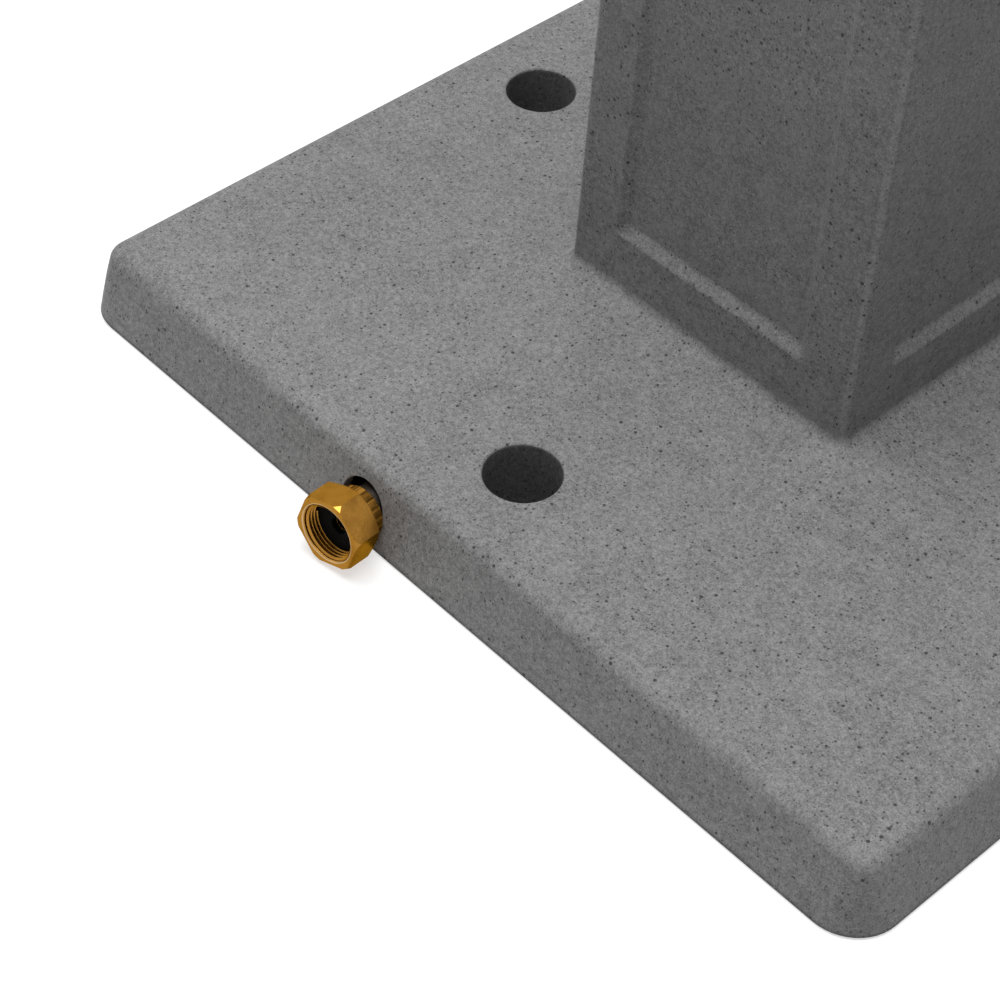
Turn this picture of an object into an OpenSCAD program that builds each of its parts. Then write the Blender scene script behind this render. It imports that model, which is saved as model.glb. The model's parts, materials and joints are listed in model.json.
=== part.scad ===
// Garden standpipe: a moulded square post on a drafted base plate, with a screw-down bib tap
// near its top and a hose that comes in through the side of the plate.
// The origin is the centre of the plate's underside, the tap faces -Y and +Z is up.

/* [Base plate] */
// Side of the square plate at the ground
plate_w = 480; // [440:10:560]
// Height of the plate's top face
plate_h = 37; // [34:1:50]
// How far the plate's top edge lies inside its foot
plate_draft = 10.5; // [4:0.5:14]
// Radius of the plate's corners, seen from above
plate_corner_r = 18; // [14:1:40]
// Rounding of the plate's top edge
plate_edge_r = 8; // [6:1:12]
// Chamfer round the plate's bottom edge
plate_chamfer = 1.5; // [0.5:0.5:3]
// Wall of the moulding
wall = 5; // [4:0.5:6]
// Circle through the four anchor holes
anchor_pcd = 372; // [350:2:390]
// Radius of an anchor hole
anchor_r = 17; // [8:0.5:20]
// Chamfer at the mouth of an anchor hole
anchor_chamfer = 1.2; // [0.5:0.1:2]

/* [Column] */
// Width of the column where it meets the plate
column_w = 163; // [150:1:180]
// Width of the column at its rim
column_top_w = 132; // [126:1:144]
// Height of the column's rim above the ground
column_h = 950; // [900:10:1100]
// Rounding of the column's upright corners
column_corner_r = 6; // [4:1:9]
// Fillet between the column and the plate
foot_fillet_r = 6; // [3:1:10]
// Depth of the recessed panels
panel_depth = 4; // [2:0.5:5]
// Width of the frame beside a panel
panel_margin = 26; // [20:1:32]
// Height of the frame below a panel
panel_foot_gap = 30; // [24:1:60]
// Height of the frame above a panel
panel_top_gap = 34; // [30:1:60]
// Width of the slope between the frame and a panel
panel_slope = 4; // [2:0.5:6]

/* [Cap] */
// Wall of the cap
cap_wall = 4; // [3:0.5:6]
// How far the cap's skirt reaches down over the column
cap_skirt = 14; // [12:1:20]
// Height of the cap's flat brow above the column's rim
cap_brow = 5; // [4:1:10]
// Rise of the cap's four slopes
cap_rise = 15; // [8:1:30]
// Shank radius of a cap screw
cap_screw_r = 2.5; // [2:0.1:3]

/* [Inlet] */
// Sideways place of the inlet's hole on the plate's back
inlet_x = 45.4; // [42:0.2:80]
// Height of the middle of the inlet's hole
inlet_z = 14.8; // [14.8:0.1:17]
// Radius of the inlet's hole in the plate
inlet_hole_r = 12.8; // [12.5:0.1:13]
// How far the hose fittings lie to the left of the hole's middle
fitting_aside = 2.9; // [1.5:0.1:3]
// How far the hose fittings lie above the hole's middle
fitting_above = 1.8; // [1.6:0.05:2]
// Sideways lean of the hose fittings
lean_side = 6.5; // [0:0.5:8]
// Upward lean of the hose fittings
lean_up = 6; // [5:0.5:7]
// How far the swivel nut's face stands beyond the plate's foot
inlet_reach = 19.7; // [19:0.1:25]
// Width across the flats of the swivel nut
inlet_nut_af = 31; // [30:0.5:31]
// Length of the swivel nut
inlet_nut_l = 15; // [13:0.5:15.5]
// Radius of the swivel nut's thread
inlet_thread_r = 13.2; // [12.8:0.1:13.3]

/* [Hose] */
// Outer radius of the supply hose
hose_r = 7.6; // [7.2:0.1:7.7]
// Bore radius of the supply hose
hose_bore_r = 5.5; // [5.2:0.1:5.8]
// Sides of the supply hose
hose_sides = 12; // [8:2:12]
// Length of a crimped ferrule
ferrule_l = 27; // [20:1:30]
// Wall of a crimped ferrule
ferrule_wall = 1.4; // [1.2:0.1:1.5]

/* [Tap] */
// How far the tap's inlet axis lies below the column's rim
tap_drop = 120; // [110:5:170]
// Radius of the tap's pipe thread
shank_r = 10.4; // [10:0.1:10.5]
// Distance from the wall pad to the valve's axis
valve_reach = 52; // [46:1:60]
// Outer radius of the valve chamber
chamber_r = 16; // [15.5:0.5:18]
// Height of the seat above the inlet's axis
seat_z = 6; // [6:0.5:7]
// Radius of the water way through the seat
seat_r = 6; // [5:0.1:6.5]
// Lift of the valve when fully open
valve_lift = 6; // [3:0.5:6]
// Radius of the spindle's thread
spindle_r = 6.5; // [6:0.1:7]
// Radius of the spindle's stem
stem_r = 4; // [3.8:0.1:4.2]
// Half of the handle's length
handle_reach = 31; // [26:1:36]
// Bend radius of the spout
spout_bend_r = 22; // [18:1:26]
// Outer radius of the spout
spout_r = 10.5; // [9:0.5:11]
// Radius of the spout's thread
outlet_thread_r = 13.2; // [12.8:0.1:13.5]
// Radius of the hose nozzle's plain tip
nozzle_r = 8.7; // [8.2:0.1:9]
// Length of the hose nozzle below its nut
nozzle_l = 30; // [24:1:40]

/* [Hidden] */
$fn = 64;
// Slack between fixed pieces that screw or slide together
slack = 0.1;
// Running clearance of the turning and lifting pieces
run = 0.05;
// Facets in a quarter of a moulded corner
corner_steps = 6;
// Facets in a moulded edge or fillet
edge_steps = 5;
e = 1;

// Half of the column's width at a height
function column_half(z) =
    column_w / 2 - (column_w - column_top_w) / 2 * (z - plate_h) / (column_h - plate_h);

// Half of the plate's width at a height
function plate_half(z) = plate_w / 2 - plate_draft * z / plate_h;

tap_z = column_h - tap_drop;
panel_z0 = plate_h + panel_foot_gap;
panel_z1 = column_h - panel_top_gap;

// The tap sits on a flat round pad that stands proud of the front panel on both sides
pad_proud = 2;
pad_r = 27;
pad_y = -(column_half(tap_z) - panel_depth + pad_proud);
pad_l = wall + pad_proud + 1.5;

// Inlet fittings, as distances along their own axis, which meets the hole's middle plane at hole_y
hole_y = plate_half(inlet_z);
fitting_x = inlet_x - fitting_aside;
fitting_z = inlet_z + fitting_above;
inlet_front = plate_w / 2 + inlet_reach;
inlet_back = inlet_front - inlet_nut_l;
nut_floor = 2.5;
flange_t = 2;
nut_play = 0.3;
inlet_washer_t = 2;
relief_r = inlet_thread_r + 0.3;
nut_turn = 14;
nut_corner_r = inlet_nut_af / 2 / cos(30);
nut_face_r = nut_corner_r - 1.1;
nut_face_drop = 2.6;
tail_flange_y = inlet_back + nut_floor + nut_play;
thread_y = tail_flange_y + flange_t + inlet_washer_t + 0.1;
collar_l = 5.3;
collar_r = 11.8;
neck_r = 8.1;
tail_bore_r = 4.2;
spigot_r = hose_bore_r - 0.3;
ferrule_y = inlet_back - nut_play - collar_l;
ferrule_r = hose_r + slack + ferrule_wall;
ferrule_floor = 3;

// Fittings inside the column, as distances from the pad's face
backing_t = 1.5;
back_nut_t = 7;
back_nut_af = 30;
elbow_gap = 3;
socket_l = 15;
elbow_r = 11;
elbow_bend_r = 14;
way_r = 6.5;
elbow_y0 = pad_l + backing_t + back_nut_t + elbow_gap;
elbow_axis = elbow_y0 + socket_l - 2 + elbow_bend_r;
thread_l = 14;
union_af = 25;
union_floor = 3;
washer_t = 2;
union_z = -elbow_bend_r - thread_l - washer_t - flange_t;
upper_collar_l = 3;
upper_ferrule_z = union_z - union_floor - upper_collar_l;

// Tap pieces, as distances from the inlet's axis at the valve
rose_t = 3;
hex_l = 8;
chamber_bore_r = 11.5;
chamber_top = seat_z + 21;
spigot_l = 8;
spigot_z = chamber_top - spigot_l;
arm_z = seat_z + 6.5;
joint_ring_t = 1.2;
bonnet_z = chamber_top + joint_ring_t;
bonnet_hex_l = 9;
neck_top = bonnet_z + bonnet_hex_l + 15;
bonnet_neck_r = 10.4;
packing_r = 7.5;
packing_l = 7;
packing_z = neck_top - packing_l;
guide_top = packing_z - 2;
washer_r = 8.5;
tap_washer_t = 3.5;
disc_t = 3;
valve_z = seat_z + 0.2;
disc_z = valve_z + tap_washer_t;
pin_r = 3;
pin_l = 11.3;
stud_r = 2.5;
spindle_z = disc_z + disc_t + 0.2;
spindle_top = guide_top - 1 - valve_lift;
gland_wall = 3;
gland_top = neck_top + gland_wall + 1;
handle_z = gland_top + 4.6;
hub_h = 11.5;
hub_r = 9;
square_w = 6;
screw_r = 1.6;
spout_y = -(valve_reach + 20 + spout_bend_r);
spout_z = arm_z - spout_bend_r;
outlet_z = spout_z - 6.5;
outlet_l = 14;
nozzle_z = outlet_z - outlet_l - washer_t;
nozzle_flange_t = 2.5;
outlet_nut_af = 30;
outlet_floor = 3;
outlet_nut_l = nozzle_flange_t + washer_t + 11 + outlet_floor;

// Route of the hose's centre line: straight in from the inlet, sideways to the middle under the
// column, up the column's middle and over to the elbow
hose_y = ferrule_y - ferrule_floor;
hose_straight = 34;
inlet_way = [-cos(lean_up) * sin(lean_side), cos(lean_up) * cos(lean_side), sin(lean_up)];
function inlet_point(y) = [fitting_x, hole_y, fitting_z] + (y - hole_y) * inlet_way;
hose_in = [for (d = [0, 12, 24, hose_straight]) inlet_point(hose_y - d)];
hose_turn = inlet_point(hose_y - hose_straight);
hose_across = [
    for (p = [[1, 0.94, 0.06], [0.96, 0.875, 0.2], [0.86, 0.79, 0.4], [0.69, 0.7, 0.6],
              [0.48, 0.61, 0.75], [0.27, 0.52, 0.9], [0.1, 0.44, 1]])
        [hose_turn[0] * p[0], hose_turn[1] * p[1], hose_turn[2] + (18.5 - hose_turn[2]) * p[2]]
];
hose_corner = [
    [0, 72, 20], [0, 56, 24], [0, 41, 31], [0, 28, 41], [0, 17, 53], [0, 9, 68], [0, 4, 84],
    [0, 1, 102], [0, 0, 125], [0, 0, 160]
];
hose_top = tap_z + upper_ferrule_z - ferrule_floor;
hose_axis = pad_y + elbow_axis;
hose_lean = hose_top - 190;
hose_rise = [for (k = [0:8]) [0, 0, 200 + (hose_lean - 200) * k / 8]];
hose_over = [for (p = [[0.16, 40], [0.42, 80], [0.74, 112]]) [0, hose_axis * p[0], hose_lean + p[1]]];
hose_up = [
    [0, hose_axis + 1, tap_z + upper_ferrule_z - ferrule_l - 10],
    [0, hose_axis, tap_z + upper_ferrule_z - ferrule_l + 2], [0, hose_axis, hose_top]
];
hose_route = concat(hose_in, hose_across, hose_corner, hose_rise, hose_over, hose_up);

granite = [0.52, 0.52, 0.53];
brass = [0.78, 0.58, 0.26];
steel = [0.66, 0.66, 0.68];
gunmetal = [0.33, 0.31, 0.29];
rubber = [0.07, 0.07, 0.07];
fibre = [0.55, 0.2, 0.14];

// One level of a moulding: a square of half width h with corners of radius r at height z
function level(h, r, z) = [
    for (q = [0:3]) for (i = [0:corner_steps])
        let (a = 90 * q + 90 * i / corner_steps, s = 90 * q + 45, c = (h - r) * sqrt(2))
        [c * cos(s) + r * cos(a), c * sin(s) + r * sin(a), z]
];

// A solid through a list of levels, lowest first
module loft(levels) {
    m = len(levels[0]);
    last = len(levels) - 1;
    polyhedron(
        points = [for (ring = levels) for (p = ring) p],
        faces = concat(
            [[for (i = [0:m - 1]) i]],
            [[for (i = [m - 1:-1:0]) last * m + i]],
            [for (j = [0:last - 1]) for (i = [0:m - 1])
                [j * m + i, (j + 1) * m + i, (j + 1) * m + (i + 1) % m, j * m + (i + 1) % m]]
        )
    );
}

// Levels round the plate's top edge, of radius r, that end inside a given half width and height
function edge_levels(h, r, corner, z) = [
    for (i = [0:edge_steps]) let (a = 90 * i / edge_steps)
        level(h - r * (1 - cos(a)), corner - r * (1 - cos(a)) * 0.9, z - r * (1 - sin(a)))
];

// Levels of the fillet at the column's foot, of radius r, from the plate's face up
function fillet_levels(h, r, corner, z) = [
    for (i = [0:edge_steps]) let (a = 90 * i / edge_steps)
        level(h + r * (1 - sin(a)), corner + r * (1 - sin(a)), z + r * (1 - cos(a)))
];

// Outside of the moulding
function outer_levels() = concat(
    [level(plate_w / 2 - plate_chamfer, plate_corner_r - plate_chamfer, 0),
     level(plate_half(plate_chamfer), plate_corner_r, plate_chamfer)],
    edge_levels(plate_half(plate_h - plate_edge_r), plate_edge_r, plate_corner_r, plate_h),
    fillet_levels(column_half(plate_h + foot_fillet_r), foot_fillet_r, column_corner_r, plate_h),
    [level(column_half(column_h), column_corner_r, column_h)]
);

// Hollow of the moulding, a wall thickness inside
function inner_levels() = concat(
    [level(plate_half(0) - wall, plate_corner_r - wall, -e)],
    edge_levels(plate_half(plate_h - plate_edge_r) - wall, plate_edge_r - wall,
        plate_corner_r - wall, plate_h - wall),
    fillet_levels(column_half(plate_h + foot_fillet_r) - wall, foot_fillet_r + wall,
        column_corner_r / 2, plate_h - wall),
    [level(column_half(column_h) - wall, column_corner_r / 2, column_h + e)]
);

// Rectangle of a panel at a depth below the column's front face, drawn in by inset
function panel_level(depth, inset) = let (
        z0 = panel_z0 + inset, z1 = panel_z1 - inset,
        x0 = column_half(z0) - panel_margin - inset, x1 = column_half(z1) - panel_margin - inset
    ) [
        [-x0, depth - column_half(z0), z0], [-x1, depth - column_half(z1), z1],
        [x1, depth - column_half(z1), z1], [x0, depth - column_half(z0), z0]
    ];

// Body of a recessed panel, moved in and widened to follow the moulding's inner face
module panel(shift = 0, widen = 0) {
    soft = panel_depth / 7;
    layers = [
        panel_level(shift - e, -widen - panel_slope),
        panel_level(shift + soft, -widen + panel_slope * 0.2),
        panel_level(shift + panel_depth - soft, -widen + panel_slope * 0.85),
        panel_level(shift + panel_depth, -widen + panel_slope * 1.2)
    ];
    polyhedron(
        points = [for (layer = layers) for (p = layer) p],
        faces = concat(
            [[0, 1, 2, 3]], [[15, 14, 13, 12]],
            [for (j = [0:2]) for (i = [0:3])
                [4 * j + i, 4 * j + 4 + i, 4 * j + 4 + (i + 1) % 4, 4 * j + (i + 1) % 4]]
        )
    );
}

// Four copies round the column
module on_each_face() {
    for (a = [0:90:270]) rotate([0, 0, a]) children();
}

// A cylinder along +Y from y0 to y1
module rod_y(y0, y1, r) {
    translate([0, y0, 0]) rotate([-90, 0, 0]) cylinder(h = y1 - y0, r = r);
}

// A ring along +Z from z0 to z1
module ring(z0, z1, r, bore) {
    translate([0, 0, z0]) difference() {
        cylinder(h = z1 - z0, r = r);
        translate([0, 0, -e]) cylinder(h = z1 - z0 + 2 * e, r = bore);
    }
}

// A hexagon of width af from z0 to z1, with the corners of its ends turned down
module hex(z0, z1, af, lower = true, upper = true) {
    corner = af / 2 / cos(30);
    drop = (corner - af / 2) * 0.9;
    intersection() {
        translate([0, 0, z0]) cylinder(h = z1 - z0, r = corner, $fn = 6);
        rotate_extrude() polygon([
            [0, z0], [lower ? af / 2 : corner + e, z0], [corner + e * 0.2, z0 + (lower ? drop : 0)],
            [corner + e * 0.2, z1 - (upper ? drop : 0)], [upper ? af / 2 : corner + e, z1], [0, z1]
        ]);
    }
}

module at_inlet_hole() {
    translate([inlet_x, 0, inlet_z]) rotate([-90, 0, 0]) children();
}

// The inlet fittings' frame: their axis is its Z, and it leans to the left and upwards
module at_inlet() {
    translate([fitting_x, hole_y, fitting_z]) rotate([lean_up, 0, lean_side])
        translate([0, -hole_y, 0]) rotate([-90, 0, 0]) children();
}

module at_tap() {
    translate([0, pad_y, tap_z]) children();
}

module at_valve() {
    translate([0, pad_y - valve_reach, tap_z]) children();
}

module at_spout() {
    translate([0, pad_y + spout_y, tap_z]) children();
}

module at_upper_hose() {
    translate([0, hose_axis, tap_z]) children();
}

module at_cap_screws() {
    for (s = [-1, 1]) translate([0, 0, column_h - cap_skirt / 2]) rotate([0, 90 * s, 0]) children();
}

cap_inner = column_half(column_h - cap_skirt) + 0.5;
cap_outer = cap_inner + cap_wall;
insert_r = cap_screw_r + 1.5;

module post_shell() {
    color(granite) difference() {
        union() {
            difference() {
                loft(outer_levels());
                on_each_face() panel();
                difference() {
                    loft(inner_levels());
                    on_each_face() panel(wall, wall * 0.4);
                }
            }
            on_each_face() translate([0, anchor_pcd / 2, 0])
                cylinder(h = plate_h - wall / 2, r = anchor_r + wall);
            at_tap() rod_y(0, pad_l, pad_r);
        }
        on_each_face() translate([0, anchor_pcd / 2, 0]) {
            translate([0, 0, -e]) cylinder(h = plate_h + 2 * e, r = anchor_r);
            translate([0, 0, plate_h - anchor_chamfer])
                cylinder(h = anchor_chamfer + e, r1 = anchor_r, r2 = anchor_r + anchor_chamfer + e);
        }
        at_inlet_hole() translate([0, 0, plate_w / 2 - plate_draft - 2 * wall])
            cylinder(h = plate_draft + 3 * wall, r = inlet_hole_r);
        at_tap() rod_y(-e, pad_l + e, shank_r + slack);
        at_cap_screws() translate([0, 0, column_top_w / 2 - 2 * wall])
            cylinder(h = 4 * wall, r = insert_r + run);
    }
}

module top_cap() {
    brow = column_h + cap_brow;
    color(granite) difference() {
        loft(concat(
            [level(cap_outer, column_corner_r + cap_wall, column_h - cap_skirt)],
            edge_levels(cap_outer, 5, column_corner_r + cap_wall, brow + 2.5),
            [level(5, 3, brow + cap_rise), level(3, 2.2, brow + cap_rise + 0.5)]
        ));
        loft([
            level(cap_inner, column_corner_r + 0.5, column_h - cap_skirt - e),
            level(cap_inner, column_corner_r + 0.5, column_h)
        ]);
        loft([
            level(cap_inner - 8, column_corner_r, column_h - e),
            level(cap_inner - 8, column_corner_r, brow + 2.5 - cap_wall),
            level(3, 2, brow + cap_rise - cap_wall)
        ]);
        at_cap_screws() translate([0, 0, cap_outer - 2 * cap_wall])
            cylinder(h = 3 * cap_wall, r = cap_screw_r + 0.2);
    }
}

module cap_screws() {
    color(steel) at_cap_screws() difference() {
        rotate_extrude() polygon([
            [0, cap_outer - 14], [cap_screw_r - 0.5, cap_outer - 14], [cap_screw_r, cap_outer - 13.2],
            [cap_screw_r, cap_outer], [cap_screw_r * 1.9, cap_outer], [cap_screw_r * 1.9, cap_outer + 1],
            [cap_screw_r * 1.3, cap_outer + 2.2], [0, cap_outer + 2.6]
        ]);
        for (a = [0, 90]) rotate([0, 0, a]) translate([-cap_screw_r, -0.45, cap_outer + 1.1])
            cube([2 * cap_screw_r, 0.9, 4]);
    }
}

module cap_inserts() {
    color(brass) at_cap_screws()
        ring(cap_outer - 14, column_half(column_h - cap_skirt / 2) - 0.2, insert_r, cap_screw_r + run);
}

// A tube round a route of points, with a ring of points at each place
function unit(v) = v / norm(v);
function bearing(route, i) = unit(route[min(i + 1, len(route) - 1)] - route[max(i - 1, 0)]);
function tube_ring(p, t, r, sides) = let (
        u = unit(cross(t, [1, 0, 0])), w = cross(t, u)
    ) [for (k = [0:sides - 1]) p + r * (cos(360 * k / sides) * u + sin(360 * k / sides) * w)];

module tube_along(route, r, bore, sides) {
    n = len(route);
    m = sides;
    outside = [for (i = [0:n - 1]) for (p = tube_ring(route[i], bearing(route, i), r, m)) p];
    inside = [for (i = [0:n - 1]) for (p = tube_ring(route[i], bearing(route, i), bore, m)) p];
    half = n * m;
    last = (n - 1) * m;
    polyhedron(
        points = concat(outside, inside),
        faces = concat(
            [for (i = [0:n - 2]) for (k = [0:m - 1]) let (a = i * m + k, b = i * m + (k + 1) % m)
                each [[a, b, b + m], [a, b + m, a + m],
                    [half + a, half + b + m, half + b], [half + a, half + a + m, half + b + m]]],
            [for (k = [0:m - 1]) let (b = (k + 1) % m)
                each [[k, half + b, b], [k, half + k, half + b],
                    [last + k, last + b, half + last + b],
                    [last + k, half + last + b, half + last + k]]]
        )
    );
}

module supply_hose() {
    color(rubber) tube_along(hose_route, hose_r, hose_bore_r, hose_sides);
}

// A crimped sleeve along +Z, closed round the tail at its far end, with shallow crimp rings
module ferrule(z0, z1) {
    body = z1 - z0;
    groove = ferrule_wall * 0.3;
    color(gunmetal) difference() {
        translate([0, 0, z0]) cylinder(h = body, r = ferrule_r);
        translate([0, 0, z0 - e]) cylinder(h = body - ferrule_floor + e, r = hose_r + slack);
        translate([0, 0, z0 - e]) cylinder(h = body + 2 * e, r = spigot_r + slack);
        for (k = [0:2]) translate([0, 0, z0 + body * (0.25 + 0.22 * k)]) rotate_extrude()
            polygon([
                [ferrule_r + e, -2.2], [ferrule_r + e, 2.2], [ferrule_r - groove, 1],
                [ferrule_r - groove, -1]
            ]);
    }
}

module inlet_ferrule() {
    at_inlet() ferrule(ferrule_y - ferrule_l, ferrule_y);
}

module inlet_tail() {
    color(brass) at_inlet() difference() {
        union() {
            translate([0, 0, ferrule_y - ferrule_l]) cylinder(h = ferrule_l + e, r = spigot_r);
            translate([0, 0, ferrule_y]) cylinder(h = tail_flange_y + flange_t - ferrule_y, r = neck_r);
            translate([0, 0, ferrule_y]) cylinder(h = collar_l, r = collar_r);
            translate([0, 0, tail_flange_y]) cylinder(h = flange_t, r = inlet_thread_r - 0.9);
        }
        for (k = [0:17]) rotate([0, 0, 20 * k]) translate([collar_r + 0.35, 0, ferrule_y - e])
            cylinder(h = collar_l + 2 * e, r = 0.9, $fn = 24);
        translate([0, 0, ferrule_y - ferrule_l - e]) cylinder(h = ferrule_l + 30, r = tail_bore_r);
    }
}

module inlet_washer() {
    color(rubber) at_inlet()
        ring(tail_flange_y + flange_t, thread_y - 0.1, inlet_thread_r - 0.8, tail_bore_r + 0.4);
}

module inlet_swivel_nut() {
    color(brass) at_inlet() difference() {
        intersection() {
            rotate([0, 0, nut_turn]) hex(inlet_back, inlet_front, inlet_nut_af, upper = false);
            rotate_extrude() polygon([
                [0, inlet_back - e], [nut_corner_r + 0.2, inlet_back - e],
                [nut_corner_r + 0.2, inlet_front - nut_face_drop], [nut_face_r, inlet_front],
                [0, inlet_front]
            ]);
        }
        translate([0, 0, inlet_back + nut_floor])
            cylinder(h = thread_y - inlet_back - nut_floor, r = relief_r);
        translate([0, 0, thread_y - 0.01]) cylinder(h = inlet_nut_l, r = inlet_thread_r);
        translate([0, 0, inlet_back - e]) cylinder(h = inlet_nut_l, r = neck_r + run);
        translate([0, 0, inlet_front - 0.7])
            cylinder(h = 0.7 + e, r1 = inlet_thread_r, r2 = inlet_thread_r + 0.7 + e);
    }
}

module upper_ferrule() {
    at_upper_hose() ferrule(upper_ferrule_z - ferrule_l, upper_ferrule_z);
}

module upper_tail() {
    color(brass) at_upper_hose() difference() {
        union() {
            translate([0, 0, upper_ferrule_z - ferrule_l]) cylinder(h = ferrule_l + e, r = spigot_r);
            translate([0, 0, upper_ferrule_z])
                cylinder(h = union_z + flange_t - upper_ferrule_z, r = neck_r);
            translate([0, 0, union_z]) cylinder(h = flange_t, r = shank_r - 0.1);
        }
        translate([0, 0, upper_ferrule_z - ferrule_l - e]) cylinder(h = ferrule_l + 30, r = tail_bore_r);
    }
}

module upper_washer() {
    z0 = union_z + flange_t;
    color(fibre) at_upper_hose() ring(z0, z0 + washer_t, shank_r - 0.2, way_r);
}

module upper_union_nut() {
    color(brass) at_upper_hose() difference() {
        hex(union_z - union_floor, union_z + flange_t + washer_t + 8, union_af);
        translate([0, 0, union_z]) cylinder(h = 40, r = shank_r + slack);
        translate([0, 0, union_z - union_floor - e]) cylinder(h = 10, r = neck_r + slack);
    }
}

// The elbow's quarter bend, from along +Y to straight down
module elbow_bend(r) {
    translate([0, elbow_axis - elbow_bend_r, -elbow_bend_r]) rotate([0, 0, 90]) rotate([90, 0, 0])
        rotate_extrude(angle = 90) translate([elbow_bend_r, 0]) circle(r = r);
}

module elbow() {
    color(brass) at_tap() difference() {
        union() {
            rod_y(elbow_y0, elbow_y0 + socket_l, shank_r + 3.6);
            elbow_bend(elbow_r);
            translate([0, elbow_axis, -elbow_bend_r - thread_l])
                cylinder(h = thread_l + 0.01, r = shank_r);
        }
        rod_y(elbow_y0 - e, elbow_y0 + socket_l - 3, shank_r + slack);
        rod_y(elbow_y0, elbow_axis - elbow_bend_r + 0.01, way_r);
        elbow_bend(way_r);
        translate([0, elbow_axis, -elbow_bend_r - thread_l - e])
            cylinder(h = thread_l + e + 0.01, r = way_r);
    }
}

module back_nut() {
    y0 = pad_l + backing_t;
    color(brass) at_tap() rotate([-90, 0, 0]) difference() {
        hex(y0, y0 + back_nut_t, back_nut_af);
        cylinder(h = 60, r = shank_r + slack);
    }
}

module backing_washer() {
    color(steel) at_tap() rotate([-90, 0, 0])
        ring(pad_l, pad_l + backing_t, pad_r - 6, shank_r + 2 * slack);
}

module wall_flange() {
    rim = pad_r - 2;
    color(brass) at_tap() rotate([90, 0, 0]) difference() {
        rotate_extrude() polygon([
            [0, 0], [rim, 0], [rim, 0.8], [rim - 1.2, 1.8], [rim - 4, 2.5],
            [shank_r + 7, rose_t], [0, rose_t]
        ]);
        translate([0, 0, -e]) cylinder(h = 10, r = shank_r + 2 * slack);
    }
}

// The spout: an arm from the chamber, a quarter bend and a drop, all of one radius
module spout(r, reach, drop) {
    translate([0, 0, arm_z]) rod_y(-20, reach, r);
    translate([0, -20, spout_z]) rotate([0, 0, -90]) rotate([90, 0, 0])
        rotate_extrude(angle = 90) translate([spout_bend_r, 0]) circle(r = r);
    translate([0, -20 - spout_bend_r, spout_z - drop]) cylinder(h = drop + 0.01, r = r);
}

module tap_body() {
    bottom = seat_z - 20;
    way_start = -9;
    span = 5 * spout_bend_r;
    color(brass) difference() {
        union() {
            at_tap() rod_y(-rose_t - e, elbow_y0 + socket_l - 3, shank_r);
            at_tap() rotate([90, 0, 0]) hex(rose_t, rose_t + hex_l, 27);
            at_tap() rod_y(-valve_reach, -rose_t - hex_l + e, 11.5);
            at_valve() rotate_extrude() polygon([
                [0, bottom], [8, bottom], [12, bottom + 1.2], [chamber_r - 1, bottom + 4],
                [chamber_r, bottom + 7], [chamber_r, chamber_top - 1],
                [chamber_r - 1, chamber_top], [0, chamber_top]
            ]);
            at_valve() spout(spout_r, 0, 6.5);
            at_spout() translate([0, 0, outlet_z - outlet_l]) cylinder(h = outlet_l, r = outlet_thread_r);
            at_spout() rotate_extrude() polygon([
                [0, outlet_z], [outlet_thread_r + 1.8, outlet_z], [outlet_thread_r + 1.8, outlet_z + 2.5],
                [spout_r, outlet_z + 5], [0, outlet_z + 5]
            ]);
        }
        at_tap() rod_y(-valve_reach, 60, way_r);
        at_valve() translate([0, 0, -8]) cylinder(h = seat_z - 5 + 8, r = 9);
        at_valve() translate([0, 0, -1]) cylinder(h = seat_z + 2, r = seat_r);
        at_valve() translate([0, 0, seat_z]) cylinder(h = 40, r = chamber_bore_r);
        at_valve() translate([0, 0, spigot_z]) cylinder(h = 40, r = 12);
        at_valve() intersection() {
            spout(seat_r, 0, 6.5 + outlet_l + e);
            translate([-span / 2, way_start - span, -span / 2]) cube(span);
        }
    }
}

module bonnet_washer() {
    color(fibre) at_valve() ring(chamber_top, bonnet_z, chamber_r - 0.8, 12.1);
}

module bonnet() {
    color(brass) at_valve() difference() {
        union() {
            translate([0, 0, spigot_z + 0.5]) cylinder(h = bonnet_z - spigot_z, r = 12 - run);
            hex(bonnet_z, bonnet_z + bonnet_hex_l, 30);
            translate([0, 0, bonnet_z]) cylinder(h = neck_top - bonnet_z, r = bonnet_neck_r);
        }
        translate([0, 0, spigot_z - e]) cylinder(h = guide_top - spigot_z + e, r = spindle_r + run);
        translate([0, 0, spigot_z]) cylinder(h = 80, r = stem_r + 0.4);
        translate([0, 0, packing_z]) cylinder(h = packing_l + e, r = packing_r);
    }
}

module gland_packing() {
    color(rubber) at_valve() ring(packing_z, neck_top - 0.8, packing_r - run, stem_r + run);
}

module gland_nut() {
    color(brass) at_valve() difference() {
        union() {
            hex(neck_top - 12, neck_top + gland_wall - 1, 24);
            rotate_extrude() polygon([
                [0, neck_top], [11, neck_top], [11, neck_top + gland_wall - 1],
                [8, gland_top], [0, gland_top]
            ]);
            translate([0, 0, neck_top - 0.7]) cylinder(h = 2, r = packing_r - 0.2);
        }
        difference() {
            translate([0, 0, neck_top - 13]) cylinder(h = 13.2, r = bonnet_neck_r + slack);
            translate([0, 0, neck_top - 0.7]) cylinder(h = 2, r = packing_r - 0.2);
        }
        translate([0, 0, neck_top - 13]) cylinder(h = 30, r = stem_r + run);
    }
}

module spindle() {
    top = handle_z + hub_h - 1;
    color(brass) at_valve() difference() {
        union() {
            translate([0, 0, spindle_z]) cylinder(h = spindle_top - spindle_z, r = spindle_r);
            translate([0, 0, spindle_z]) cylinder(h = handle_z - spindle_z, r = stem_r);
            translate([-square_w / 2, -square_w / 2, handle_z - e])
                cube([square_w, square_w, top - handle_z + e]);
        }
        translate([0, 0, spindle_z - e]) cylinder(h = pin_l + e, r = pin_r + run);
        translate([0, 0, top - 9]) cylinder(h = 10, r = screw_r + run);
    }
}

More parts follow.
